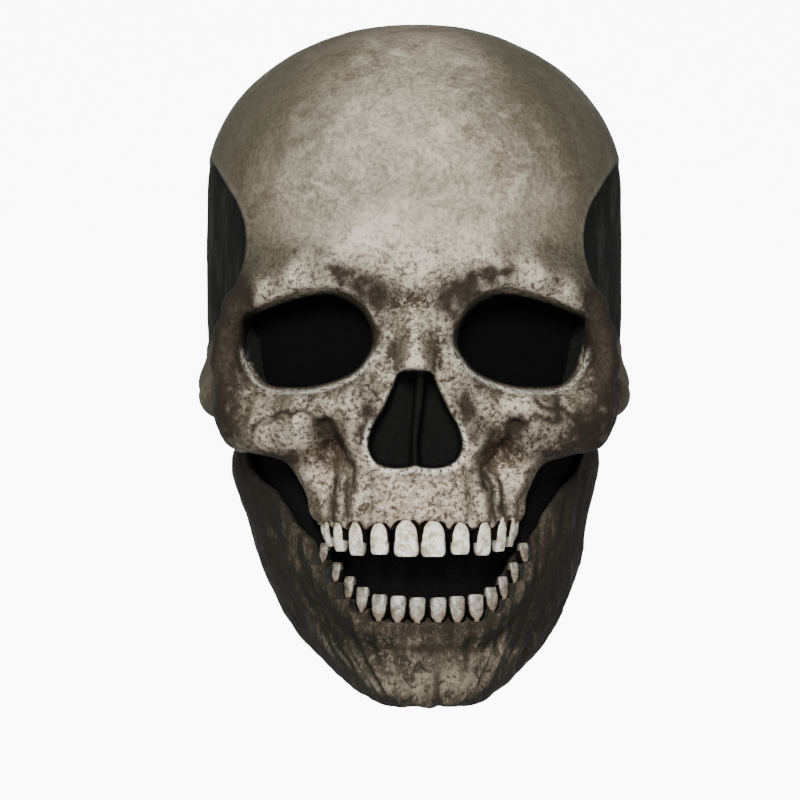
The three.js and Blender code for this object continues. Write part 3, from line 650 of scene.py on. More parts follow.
eye_cut = shared(melt(funnel, through, 0.5), kept_wall, 1)
head = shared(head, -eye_cut, 2.5)
septum = np.abs(lx - 1.0 - 1.2 * np.sin(z / 9.0)) - 1.2 - 0.10 * (y + 103)
cavity = shared(nose + (y + 106) * 0.10, y - NOSE_FLOOR, 3)
cavity = shared(cavity, -shared(septum, -103 - y, 2), 1.5)
head = shared(head, -cavity, 1.5)
base = height(np.interp(-y / REACH, BASE["forward"], BASE["down"]))
head = shared(head, base - z, 2.5)
cut_seats(head, skull_axes, UPPER_TEETH, UPPER_SHIFT, 5.0)
room = bare_head + dip + WALL
face = melt(face_ball(lx, y, z) + FACE_WALL, upper_jaw(lx, y, z) + FACE_WALL, 6)
room = melt(room, shared(face, -196 - z, 2), 6)
room = shared(room, -shared(socket - 5, behind - 4, 2), 2)
room = shared(room, -shared(nose - 4, y - NOSE_FLOOR - 4, 2), 2)
shell = shared(head, -room, 1)
print("skull block:", shell.shape)

# %% [markdown]
# ## The throat
# The jaw goes up inside the cheeks, so the inside of the head keeps clear of it. The roof of the mouth
# is hollow inside the arch of the upper teeth.

# %% Room for the jaw and the palate
jaw_outer = bowl(lx, y, z, JAW, JAW_AXIS)


def jaw_wall(x, down):
    """From the jaw's skin to the throat: thin at the sides, deep behind the front gum."""
    gum = smooth((GUM_ENDS - np.abs(x) / HALF) / 0.085) * smooth((GUM_LOW - down) / 0.0267)
    return JAW_WALL + (GUM_DEPTH - JAW_WALL) * gum


inset = jaw_wall(lx, level(z))
throat = shared(shared(jaw_outer + inset, y + 30, 1), z - height(0.603), 1)
palate_wide = along(MAXILLA["down"], MAXILLA["half_width"], 0.69) * HALF - GUM_DEPTH
palate_deep = along(MAXILLA["down"], MAXILLA["front"], 0.69) * REACH + FACE_AXIS - GUM_DEPTH
arch_away = np.hypot(lx / palate_wide, np.minimum(y - FACE_AXIS, 0) / palate_deep)
palate = shared(shared((arch_away - 1) * 28, z + 204, 3), y + 30, 1)
shell = shared(shell, -shared(throat, z + 198, 1), 1)
shell = shared(shell, -palate, 1.5)
points, faces = skin_of(shell, skull_axes)
print("skull skin:", len(points), "vertices")

# %% The skull skin as an object
skull = mesh_object("skull_skin", points, faces)
skull = thinned(skull, 196000)
print("skull skin:", len(skull.data.polygons), "faces after thinning")

# %% [markdown]
# ## Relief and paint values of the skull
# The casting shows weathered bone: soft waves, fine pits on the face, grooves over the roots of the
# teeth. Deep places collect dark wash and high places are rubbed pale, so the paint needs to know how
# hollow each place is. Averaging the filled form around a place gives exactly that.

# %% Skull relief
LINES = [
    [(-70, -177), (-65, -172), (-57, -169), (-49, -168), (-44, -171), (-38, -174)],
    [(-43, -160), (-45, -164), (-47, -168.5)],
    [(-38, -174), (-32, -182), (-27, -193), (-25.5, -202)],
    [(53, -165), (62, -168), (70, -174), (76, -178)],
    [(60, -160), (62, -168), (60, -173)],
    [(42, -174), (36, -182), (30, -192), (28, -201)],
    [(42, -174), (50, -171), (58, -172)],
    [(-33.5, -197), (-34, -213)],
    [(-29.5, -199), (-29, -212)],
    [(31, -196), (33, -212)],
    [(36, -198), (37, -211)]]


def to_lines(points, lines, wobble):
    """Distance to drawn crack lines, seen from the front."""
    px = points[:, 0] + bumps(points, 5.0, 3.1) * wobble
    pz = points[:, 2] + bumps(points, 5.0, 9.7) * wobble
    best = np.full(len(points), 99.0)
    for line in lines:
        for a, b in zip(line[:-1], line[1:]):
            run = np.subtract(b, a)
            t = np.clip(((px - a[0]) * run[0] + (pz - a[1]) * run[1]) / (run @ run), 0, 1)
            best = np.minimum(best, np.hypot(px - a[0] - t * run[0], pz - a[1] - t * run[1]))
    return best


def spots(points, places):
    """Soft marks seen from the front: each is across, height, half width, half height and strength."""
    value = np.zeros(len(points))
    for px, pz, wide, tall, strength in places:
        away = np.hypot((points[:, 0] - px) / wide, (points[:, 2] - pz) / tall)
        value += strength * np.exp(-away**2)
    return value


def over_roots(points, t, shift, share, reach, fade=None):
    """How much each place lies over the root of a tooth, fading out above and below the gum line."""
    value = np.zeros(len(points))
    for side in (1, -1):
        for i in range(len(t["across"])):
            centre, turn, run = tooth_place(t, i, side, shift)
            across, along_y = points[:, 0] - centre[0], points[:, 1] - centre[1]
            u = across * math.cos(turn) + along_y * math.sin(turn)
            over = np.exp(-(u / (t["wide"][i] * REACH * share)) ** 2)
            over *= np.exp(-(np.hypot(across, along_y) / reach) ** 2)
            if fade:
                drop = centre[2] - points[:, 2]
                over *= smooth((drop + fade[0]) / fade[1]) * smooth((fade[2] - drop) / fade[3])
            value = np.maximum(value, over)
    return value


at = points_of(skull)
outward = normals_of(skull)
outer_side = smooth((1.6 - np.abs(sample(head, skull_axes, at))) / 0.8)
front = smooth((-at[:, 1] - 20) / 45)
low_face = smooth((-at[:, 2] - 118) / 40) * front
filled = (solid_head < 0) & ~(funnel < 0) & ~(cavity < 0)
hollow = sample(spread(filled, 3.2, skull_axes), skull_axes, at) - 0.5
hollow_wide = sample(spread(filled, 9.0, skull_axes), skull_axes, at) - 0.5
upper_fade = smooth((at[:, 2] + 219) / 4) * smooth((-187 - at[:, 2]) / 16)
roots = over_roots(at, UPPER_TEETH, UPPER_SHIFT, 0.36, 9) * upper_fade
pits = spots(at, [
    (-38, -174, 2.6, 2.6, 3.2), (42.5, -174, 2.6, 2.6, 3.2), (-36, -107.5, 2.4, 1.2, 1.2),
    (-12, -31, 1.2, 1.2, 0.8), (-17, -117, 9, 4, 0.7), (19, -117, 9, 4, 0.7)])
crack = np.exp(-(to_lines(at, LINES, 1.6) / 0.9) ** 2) * front
relief = rough(at, 26, 2) * 0.45 + rough(at, 9, 2, 2.0) * (0.12 + 0.30 * low_face)
relief += rough(at, 3.4, 2, 4.0) * (0.05 + 0.16 * low_face)
relief += 1.1 * roots - 0.8 * crack - pits * front
at += outward * (relief * outer_side)[:, None]
move_points(skull, at)
print("skull relief:", round(float(relief.min()), 1), "to", round(float(relief.max()), 1), "mm")

# %% Skull paint values
turned = normals_of(skull)
lx_at = at[:, 0] - lean(at[:, 2])
in_nose = to_outline(lx_at, at[:, 2], NOSE_LINE)
in_eye = to_outline(np.abs(lx_at), at[:, 2], SOCKET_LINE)
face_front = smooth((-at[:, 1] - 45) / 10)
black = smooth((0.2 - in_nose) / 0.9) * smooth((-at[:, 1] - 85) / 5)
black = np.maximum(black, smooth((-0.3 - in_eye) / 1.1) * face_front)
lit_rim = np.exp(-((in_nose - 1.0) / 0.8) ** 2) * smooth((-170 - at[:, 2]) / 8)
lit_rim += 0.8 * np.exp(-((in_eye - 1.0) / 0.9) ** 2) * smooth((-140 - at[:, 2]) / 8)
shade = spots(at, [
    (-36, -109, 9, 4, 0.9), (-27, -113, 9, 5, 1.1), (-19, -118, 8, 6, 1.0), (-12, -124, 6, 7, 0.9),
    (37, -110, 9, 4, 0.9), (28, -113, 9, 5, 1.1), (20, -118, 8, 6, 1.0), (13, -124, 6, 7, 0.9),
    (-15, -136, 4, 9, 0.8), (17, -136, 4, 9, 0.8), (-24, -150, 5, 8, 0.7), (27, -150, 5, 8, 0.7),
    (0, -119, 8, 3, 0.6), (-79, -134, 9, 25, 2.2), (82, -134, 9, 25, 2.0), (-38, -176, 9, 6, 0.9),
    (42, -176, 9, 6, 0.9), (-20, -168, 5, 11, 1.2), (22, -166, 5, 12, 1.0), (-22, -178, 5, 6, 0.8),
    (26, -178, 5, 6, 0.7), (-60, -178, 9, 5, 0.4), (66, -177, 9, 6, 0.9),
    (-60, -189, 20, 4, 1.3), (66, -187, 20, 6, 1.3), (0, -194, 18, 2.5, 0.6),
    (-82, -172, 7, 14, 1.0), (80, -172, 11, 16, 1.1), (-74, -120, 5, 6, 0.8), (76, -120, 5, 6, 0.8)])
shade += 0.3 * np.exp(-(to_lines(at, LINES, 1.6) / 2.2) ** 2)
shade *= 1 - 0.9 * np.clip(lit_rim, 0, 1)
ragged = 0.05 * rough(at, 14, 3, 3.0) * smooth((at[:, 1] + 45) / 30)
sharp = 14 - 8 * smooth((at[:, 1] + 40) / 50)
side_panel = smooth((1.03 + ragged - temple_side(at[:, 1], at[:, 2])) * sharp)
side_panel *= smooth((np.abs(at[:, 0]) - 62) / 8)
# Painted shade: places that face sideways, up, down or back get the edge value, a little less at the back of
# the head.
sideways = np.abs(turned[:, 0]) + 0.55 * np.clip(turned[:, 2], 0, 1) + 0.6 * np.clip(turned[:, 1] + 0.4, 0, 1)
sideways += 0.25 * np.clip(-turned[:, 2], 0, 1)
edge_shade = smooth((sideways - 0.30) / 0.62)
edge_shade *= 1 - 0.30 * smooth((turned[:, 1] + 0.15) / 0.5)
# Pale marks: painted highlights on the brow ridges, glabella and upper forehead, and pale rubbed patches on
# the cheekbones, nose bridge and upper jaw.
brow = spots(at, [
    (-34, -98, 24, 9, 0.7), (-14, -90, 15, 10, 0.7), (0, -106, 9, 6, 0.8), (26, -98, 24, 9, 0.6),
    (50, -107, 16, 8, 0.4), (-44, -164, 20, 4, 0.9), (48, -164, 20, 4, 0.8), (-60, -180, 11, 4.5, 0.8),
    (62, -181, 11, 4.5, 0.6), (-52, -110, 14, 3, 0.6), (54, -110, 14, 3, 0.5), (0, -140, 6, 14, 0.4),
    (0, -205, 20, 6, 0.4),    (-26, -50, 26, 20, 0.3), (-29, -202, 10, 10, 1.1), (33, -202, 10, 10, 1.0)])
paint(skull, "hollow", hollow * 2.6 + 0.5)
paint(skull, "hollow_wide", hollow_wide * 2.2 + 0.5)
paint(skull, "crack", crack + 0.8 * pits * front)
paint(skull, "black", black)
paint(skull, "shade", np.clip(shade * (1 + 0.5 * rough(at, 4, 2)), 0, 1) * front)
paint(skull, "temple", side_panel)
paint(skull, "inside", 1 - outer_side)
paint(skull, "lower", smooth((-at[:, 2] - 135) / 60) * front)
paint(skull, "grit", (0.35 + 0.65 * smooth((-at[:, 2] - 85) / 35)) * (0.35 + 0.65 * front))
# edge holds the painted shade on the faces that turn away from the front
paint(skull, "edge", edge_shade)
paint(skull, "bleach_and_highlight", brow * front)
paint(skull, "lit", lit_rim * front)

# %% [markdown]
# ## The jaw
# A broad curved band with two upright branches. Its skin is pulled into long slanted folds that run
# down to the chin, and the gum swells around each tooth.

# %% Jaw form
jaw_axes = grid((-92, -104, -300), (92, 18, -168), JAW_FINE)
x, y, z = jaw_axes
lx = x - lean(z)
outer = bowl(lx, y, z, JAW, JAW_AXIS)
edge = height(along(EDGE["across"], EDGE["down"], np.abs(lx) / HALF))
border = height(np.interp(-y / REACH, BORDER["forward"], BORDER["down"]))
jaw = shared(outer, z - edge, 4)
ex = EDGE["across"][:7] * HALF
ez = height(EDGE["down"][:7])
ew = along(JAW["down"], JAW["half_width"], level(ez)) * HALF
ef = along(JAW["down"], JAW["front"], level(ez)) * REACH + JAW_AXIS
en = along(JAW["down"], JAW["square"], level(ez))
ey = JAW_AXIS - ef * (1 - (ex / ew) ** en) ** (1 / en)
GUM = {
    "across": ex / HALF,
    "forward": -(ey + 4.5) / REACH,
    "down": level(ez - 3.0),
    "thick": np.array([0.058, 0.058, 0.055, 0.055, 0.050, 0.045, 0.030], np.float32)}
add_strand(jaw, jaw_axes, GUM, 4, 4)
jaw = shared(jaw, border - z, 5)
jaw = shared(jaw, y - 14, 3)
solid_jaw = jaw.copy()
low = smooth((level(z) - CHIN_LOW) / 0.0267)
inset = jaw_wall(lx, level(z)) + 2 * low
throat = shared(outer + inset, -286.5 - z, 3)
jaw = shared(jaw, -throat, 1.5)
cut_seats(jaw, jaw_axes, LOWER_TEETH, LOWER_SHIFT, 3.5)
points, faces = skin_of(jaw, jaw_axes)
jaw_skin = mesh_object("jaw_skin", points, faces)
jaw_skin = thinned(jaw_skin, 180000)
print("jaw skin:", len(jaw_skin.data.polygons), "faces")

# %% [markdown]
# ## Folds of the jaw
# The skin of the jaw is drawn tight over the bone, in long folds that run to the chin. Noise that is
# stretched along the jaw gives such folds; it is kept calm near the lower edge.

# %% Jaw relief
at = points_of(jaw_skin)
outward = normals_of(jaw_skin)
jaw_outer_side = smooth((1.6 - np.abs(sample(solid_jaw, jaw_axes, at))) / 0.8)
hollow = sample(spread(solid_jaw < 0, 3.0, jaw_axes), jaw_axes, at) - 0.5
hollow_wide = sample(spread(solid_jaw < 0, 8.0, jaw_axes), jaw_axes, at) - 0.5
width = along(JAW["down"], JAW["half_width"], level(at[:, 2])) * HALF
strip = (at[:, 0] - lean(at[:, 2])) / width
flow = np.stack([strip * 74, at[:, 1] * 0.25, at[:, 2] * 0.10], 1)
folds = bumps(flow, 5.2, 1.0) * 0.8 + bumps(flow, 2.6, 6.0) * 0.6
folds_share = smooth((np.abs(strip) - 0.10) / 0.3) * 0.8 + 0.2
calm = smooth((at[:, 2] - height(np.interp(-at[:, 1] / REACH, BORDER["forward"], BORDER["down"])) - 3) / 9)
relief = folds * folds_share * 1.1 * calm + rough(at, 6, 3, 2.0) * 0.45 + rough(at, 20, 2, 8.0) * 0.5
lower_roots = over_roots(at, LOWER_TEETH, LOWER_SHIFT, 0.34, 8, (4, 4, 15, 10))
relief += 1.0 * lower_roots
chin = np.exp(-((at[:, 0] - 9.5) / 1.6) ** 2) * smooth((-274 - at[:, 2]) / 8) * smooth((at[:, 2] + 296) / 3)
relief -= 1.6 * chin
at += outward * (relief * jaw_outer_side)[:, None]
move_points(jaw_skin, at)

# %% Jaw paint values
turned = normals_of(jaw_skin)
# Painted shade: faces turned sideways, down or back, the far sides of the band, and the upper corners behind
# the cheeks.
sideways = np.abs(turned[:, 0]) + 0.8 * np.clip(-turned[:, 2], 0, 1) + 0.6 * np.clip(turned[:, 1] + 0.4, 0, 1)
side_fade = smooth((np.abs(strip) - 0.72) / 0.26)
deep_corner = smooth((at[:, 2] + 228) / 26) * smooth((np.abs(at[:, 0]) - 34) / 14)
low_chin = smooth((-262 - at[:, 2]) / 18) * smooth((46 - np.abs(at[:, 0] - 6)) / 26)
# Pale marks: a painted highlight along the lower border of the chin, and pale dry brush on the chin and over
# the roots of the lower teeth.
ridge = spots(at, [
    (-16, -286, 15, 4, 0.45), (14, -283, 18, 5, 0.6), (34, -272, 9, 6, 0.5), (-32, -275, 8, 5, 0.3),
    (44, -252, 4, 10, 0.4), (-52, -250, 4, 14, 0.25), (2, -270, 8, 5, 0.2)])
paint(jaw_skin, "hollow", hollow * 2.6 + 0.5)
paint(jaw_skin, "hollow_wide", hollow_wide * 2.2 + 0.5)
# Painted shade in a band under the lower teeth, lighter over the roots. The crack value also carries the dark
# fold lines and painted shade in the chin cleft.
gum_shade = smooth((at[:, 2] + 269) / 8) * (1 - 0.8 * lower_roots) * 0.8
paint(jaw_skin, "crack", np.maximum(smooth((-folds * folds_share - 0.15) * 1.6) * 0.9 + chin, gum_shade))
paint(jaw_skin, "inside", 1 - jaw_outer_side)
paint(jaw_skin, "bleach_and_highlight", ridge + 0.12 * low_chin + 0.20 * lower_roots)
paint(jaw_skin, "edge", np.maximum(np.maximum(smooth((sideways - 0.62) / 0.38), side_fade), deep_corner))

# %% [markdown]
# ## The teeth
# Each tooth is cast in hard plastic or thick latex and set in the gum. A stack of rounded sections
# from the root to the biting edge gives the outline: narrow at the neck, widest low down, with
# soft corners.

# %% Teeth
AROUND = 36


def tooth_width(place, neck):
    """Share of the full width along a tooth: a round arch at the gum, then a soft flare."""
    arch = np.sqrt(np.clip(1 - (1 - np.clip(place / neck, 0, 1)) ** 2, 0.2, 1))
    flare = 0.96 + 0.06 * smooth(place / 0.7)
    corner = 1 - 0.22 * np.clip((place - 0.84) / 0.16, 0, 1) ** 2.5
    return arch * flare * corner


def tooth(name, t, i, side, shift, seed, grow=0.0, ends=(-0.12, 1.0)):
    centre, turn, run = tooth_place(t, i, side, shift)
    stack = np.linspace(ends[0], ends[1], 26)
    stack = np.sort(np.concatenate([stack, np.linspace(ends[1] - 0.07, ends[1] - 0.01, 5)]))
    neck = 0.40 if run < 0 else 0.42
    wide = tooth_width(stack + grow * 0.06, neck) * t["wide"][i] * REACH / 2 + grow
    taper = np.interp(stack, [-0.35, 0.0, 0.3, 0.7, 1.0], [0.6, 0.9, 1.0, 0.8, 0.42])
    deep = taper * t["deep"][i] * REACH / 2
    angle = np.arange(AROUND) * 2 * np.pi / AROUND
    cos, sin = np.cos(angle), np.sin(angle)
    u = wide[:, None] * np.sign(cos) * np.abs(cos) ** 0.85
    v = (deep - 1.1 * grow)[:, None] * np.sign(sin) * np.abs(sin) ** 0.75
    z = centre[2] + run * stack[:, None] + 0 * u
    px = centre[0] + u * math.cos(turn) + v * math.sin(turn)
    py = centre[1] + u * math.sin(turn) - v * math.cos(turn)
    points = np.stack([px, py, z], 2).reshape(-1, 3)
    rows = len(stack)
    faces = []
    for r in range(rows - 1):
        for k in range(AROUND):
            a, b = r * AROUND + k, r * AROUND + (k + 1) % AROUND
            faces.append([a, b, b + AROUND, a + AROUND])
    for ring, turned in ((0, False), (rows - 1, True)):
        middle = len(points)
        points = np.vstack([points, points[ring * AROUND:(ring + 1) * AROUND].mean(0)])
        for k in range(0, AROUND, 2):
            a = ring * AROUND + k
            b = ring * AROUND + (k + 1) % AROUND
            c = ring * AROUND + (k + 2) % AROUND
            faces.append([c, b, a, middle] if not turned else [a, b, c, middle])
    faces = np.array(faces)
    if run < 0:
        faces = faces[:, ::-1]
    if name is None:
        return points, faces
    made = mesh_object(name, points + rough(points, 3.5, 2, seed)[:, None] * 0.12, faces)
    place = np.concatenate([np.repeat(stack, AROUND), [ends[0], ends[1]]])
    # Brown towards the gum: stain on the neck, with painted shade where the tooth enters the gum.
    paint(made, "neck", 1 - smooth((place - 0.02) / 0.45))
    # Painted shade on the flanks of each tooth, where it turns away from the front.
    side_shade = np.abs(np.tile(u[0] / wide[0], rows))
    paint(made, "flank", np.concatenate([smooth((side_shade - 0.74) / 0.26), [0, 0]]))
    old = 0.05 + 0.09 * i if run < 0 else 0.90 + 0.05 * max(0, i - 2)
    paint(made, "aged", np.full(len(place), old))
    return made


def seat_rims(name, t, shift):
    """A black sleeve around each tooth where it leaves the gum: a painted shadow in the gap."""
    points, faces, count = [], [], 0
    for side in (1, -1):
        for i in range(len(t["across"])):
            ring, skin = tooth(None, t, i, side, shift, 0, 0.55, (-0.03, 0.62))
            points.append(ring)
            faces.append(skin + count)
            count += len(ring)
    return mesh_object(name, np.concatenate(points), np.concatenate(faces))


teeth = []
for row, t, shift in (("upper", UPPER_TEETH, UPPER_SHIFT), ("lower", LOWER_TEETH, LOWER_SHIFT)):
    for side_name, side in (("left", 1), ("right", -1)):
        for i in range(len(t["across"])):
            node = f"{row}_tooth_{side_name}_{i + 1}"
            teeth.append((tooth(f"{node}_crown", t, i, side, shift, 1.7 * i + side), node))
# Black sleeves round the teeth, a painted shadow where they leave the gums.
rims = [
    seat_rims("upper_seat_rims", UPPER_TEETH, UPPER_SHIFT),
    seat_rims("lower_seat_rims", LOWER_TEETH, LOWER_SHIFT)]
print("teeth:", len(teeth))


# %% [markdown]
# ## The cloth in the mouth
# A band of black stretch cloth is glued inside the jaw and the cheeks, so nothing of the wearer
# shows. It is pulled tight, with a few shallow folds, so a curved grid with slight waves is enough.

# %% Mouth cloth
def throat_point(angle, down, extra):
    z = height(down)
    w = along(JAW["down"], JAW["half_width"], down) * HALF
    f = along(JAW["down"], JAW["front"], down) * REACH + JAW_AXIS
    n = along(JAW["down"], JAW["square"], down)
    x = w * np.sign(np.sin(angle)) * np.abs(np.sin(angle)) ** (2 / n)
    y = -f * np.abs(np.cos(angle)) ** (2 / n)
    inset = jaw_wall(x, down) + 2 * smooth((down - CHIN_LOW) / 0.0267) + extra
    ox, oy = x / w**2, y / f**2
    length = np.hypot(ox, oy)
    return np.stack([x - ox / length * inset + lean(z), y + JAW_AXIS - oy / length * inset, z], -1)


CLOTH_TOP = 0.604
CLOTH_LOW = 0.8967
columns = np.linspace(-np.pi / 2, np.pi / 2, 121)[None, :]
rows = np.linspace(0, 1, 61)[:, None]
rise = 0.17 * smooth((np.abs(np.sin(columns)) - 0.5) / 0.5)
down = CLOTH_TOP + rows * (CLOTH_LOW - rise - CLOTH_TOP)
waves = np.sin(columns * 23 + rows * 4) * 0.25 + np.sin(columns * 51 - rows * 9) * 0.12
skins = [throat_point(columns + 0 * rows, down, 0.3 + thick + 0.35 + waves) for thick in (0, 1.0)]
ny, nx = down.shape
points = np.concatenate([s.reshape(-1, 3) for s in skins])
faces = []
for r in range(ny - 1):
    for k in range(nx - 1):
        a = r * nx + k
        faces.append([a, a + nx, a + nx + 1, a + 1])
        faces.append([a + ny * nx + 1, a + ny * nx + nx + 1, a + ny * nx + nx, a + ny * nx])
rim = [k for k in range(nx)] + [r * nx + nx - 1 for r in range(1, ny)]
rim += [(ny - 1) * nx + k for k in range(nx - 2, -1, -1)] + [r * nx for r in range(ny - 2, 0, -1)]
for a, b in zip(rim, rim[1:] + rim[:1]):
    faces.append([a, b, b + ny * nx, a + ny * nx])
cloth = mesh_object("mouth_cloth_band", points, np.array(faces))

# %% [markdown]
# ## The mesh in the eye holes
# Thin black mesh, stretched behind each hole. From the front it reads as an even near-black. The weave
# is shallow, so the finish carries it.

# %% Eye screens
def screen(name, side):
    line = SOCKET_LINE.copy()
    centre = line.mean(0)
    run = np.roll(line, -1, 0) - np.roll(line, 1, 0)
    out = np.stack([run[:, 1], -run[:, 0]], 1) / np.linalg.norm(run, axis=1)[:, None]
    if ((line - centre) * out).sum() < 0:
        out = -out
    wider = line + out * 1.8
    rings = np.linspace(0, 1, 15)[1:]
    count = len(line)
    flat = np.concatenate([centre[None]] + [centre + (wider - centre) * s for s in rings])
    reach = np.concatenate([[0]] + [np.full(count, s) for s in rings])
    ahead = screen_plane(flat[:, 0]) + 0.15 - 0.9 * (1 - reach**2)
    front = np.stack([flat[:, 0] * side, ahead, flat[:, 1]], 1)
    back = front + [0, 0.75, 0]
    total = len(front)
    faces = []
    for k in range(0, count, 2):
        a, b, c = 1 + k, 1 + (k + 1) % count, 1 + (k + 2) % count
        faces.append([0, a, b, c])
    for r in range(len(rings) - 1):
        for k in range(count):
            a, b = 1 + r * count + k, 1 + r * count + (k + 1) % count
            faces.append([a, a + count, b + count, b])
    faces = np.array(faces)
    sides = []
    for k in range(count):
        a, b = total - count + k, total - count + (k + 1) % count
        sides.append([b, a, a + total, b + total])
    skin = np.concatenate([faces, faces[:, ::-1] + total, np.array(sides)])
    first = front[faces[0]]
    if np.cross(first[1] - first[0], first[2] - first[0])[1] > 0:
        skin = skin[:, ::-1]
    return mesh_object(name, np.concatenate([front, back]), skin)


screens = [
    (screen("eye_mesh_left", 1), "eye_screen_left"),
    (screen("eye_mesh_right", -1), "eye_screen_right")]


# %% [markdown]
# ## Finishes
# The latex is painted in thin layers: a bone ground, mottled stains, dark wash in the hollows and
# a pale dry brush on the high places. Over these come painted shade and painted highlights. Each layer is a
# mix that reads a paint value or a noise.

# %% Node tools
class Finish:
    """A material and short ways to add layers to it."""

    def __init__(self, name, roughness):
        self.material = bpy.data.materials.new(name)
        self.material.use_nodes = True
        self.tree = self.material.node_tree
        self.shader = self.tree.nodes["Principled BSDF"]
        self.shader.inputs["Roughness"].default_value = roughness
        self.places = self.tree.nodes.new("ShaderNodeTexCoord").outputs["Object"]

    def link(self, a, b):
        self.tree.links.new(a, b)

    def value(self, name):
        node = self.tree.nodes.new("ShaderNodeAttribute")
        node.attribute_name = name
        return node.outputs["Fac"]

    def noise(self, scale, detail=4.0, roughness=0.6, distortion=0.0, stretch=None):
        node = self.tree.nodes.new("ShaderNodeTexNoise")
        node.inputs["Scale"].default_value = scale
        node.inputs["Detail"].default_value = detail
        node.inputs["Roughness"].default_value = roughness
        node.inputs["Distortion"].default_value = distortion
        source = self.places
        if stretch:
            mapping = self.tree.nodes.new("ShaderNodeMapping")
            mapping.inputs["Scale"].default_value = stretch
            self.link(self.places, mapping.inputs["Vector"])
            source = mapping.outputs["Vector"]
        self.link(source, node.inputs["Vector"])
        return node.outputs["Fac"]

    def span(self, source, low, high, to_low=0.0, to_high=1.0):
        node = self.tree.nodes.new("ShaderNodeMapRange")
        node.interpolation_type = "SMOOTHSTEP"
        self.link(source, node.inputs["Value"])
        node.inputs["From Min"].default_value = low
        node.inputs["From Max"].default_value = high
        node.inputs["To Min"].default_value = to_low
        node.inputs["To Max"].default_value = to_high
        return node.outputs["Result"]

    def math(self, kind, a, b):
        node = self.tree.nodes.new("ShaderNodeMath")
        node.operation = kind
        for socket, item in zip(node.inputs, (a, b)):
            if isinstance(item, (int, float)):
                socket.default_value = item
            else:
                self.link(item, socket)
        return node.outputs["Value"]

    def mix(self, share, a, b, kind="MIX"):
        node = self.tree.nodes.new("ShaderNodeMix")
        node.data_type = "RGBA"
        node.blend_type = kind
        node.clamp_factor = True
        if isinstance(share, (int, float)):
            node.inputs[0].default_value = share
        else:
            self.link(share, node.inputs[0])
        for socket, item in zip((node.inputs[6], node.inputs[7]), (a, b)):
            if isinstance(item, tuple):
                socket.default_value = (*item, 1)
            else:
                self.link(item, socket)
        return node.outputs[2]

    def layer(self, below, where, strength, above):
        """Lays one colour over another where a value is high."""
        return self.mix(self.math("MULTIPLY", where, strength), below, above)

    def bump(self, height_source, depth, strength=1.0):
        node = self.tree.nodes.new("ShaderNodeBump")
        node.inputs["Strength"].default_value = strength
        node.inputs["Distance"].default_value = depth
        self.link(height_source, node.inputs["Height"])
        self.link(node.outputs["Normal"], self.shader.inputs["Normal"])

    def colour(self, source):
        self.link(source, self.shader.inputs["Base Color"])


# %% Bone latex
BONE_PALE = (0.58, 0.51, 0.41)
BONE = (0.31, 0.265, 0.20)
BONE_GREY = (0.20, 0.178, 0.135)
STAIN = (0.12, 0.082, 0.052)
WASH = (0.020, 0.015, 0.010)
SOOT = (0.0020, 0.0022, 0.0018)
INSIDE = (0.030, 0.028, 0.025)
BROWN_BONE = (0.33, 0.235, 0.165)
DIRT = (0.040, 0.028, 0.017)
OLIVE_SHADE = (0.050, 0.045, 0.028)


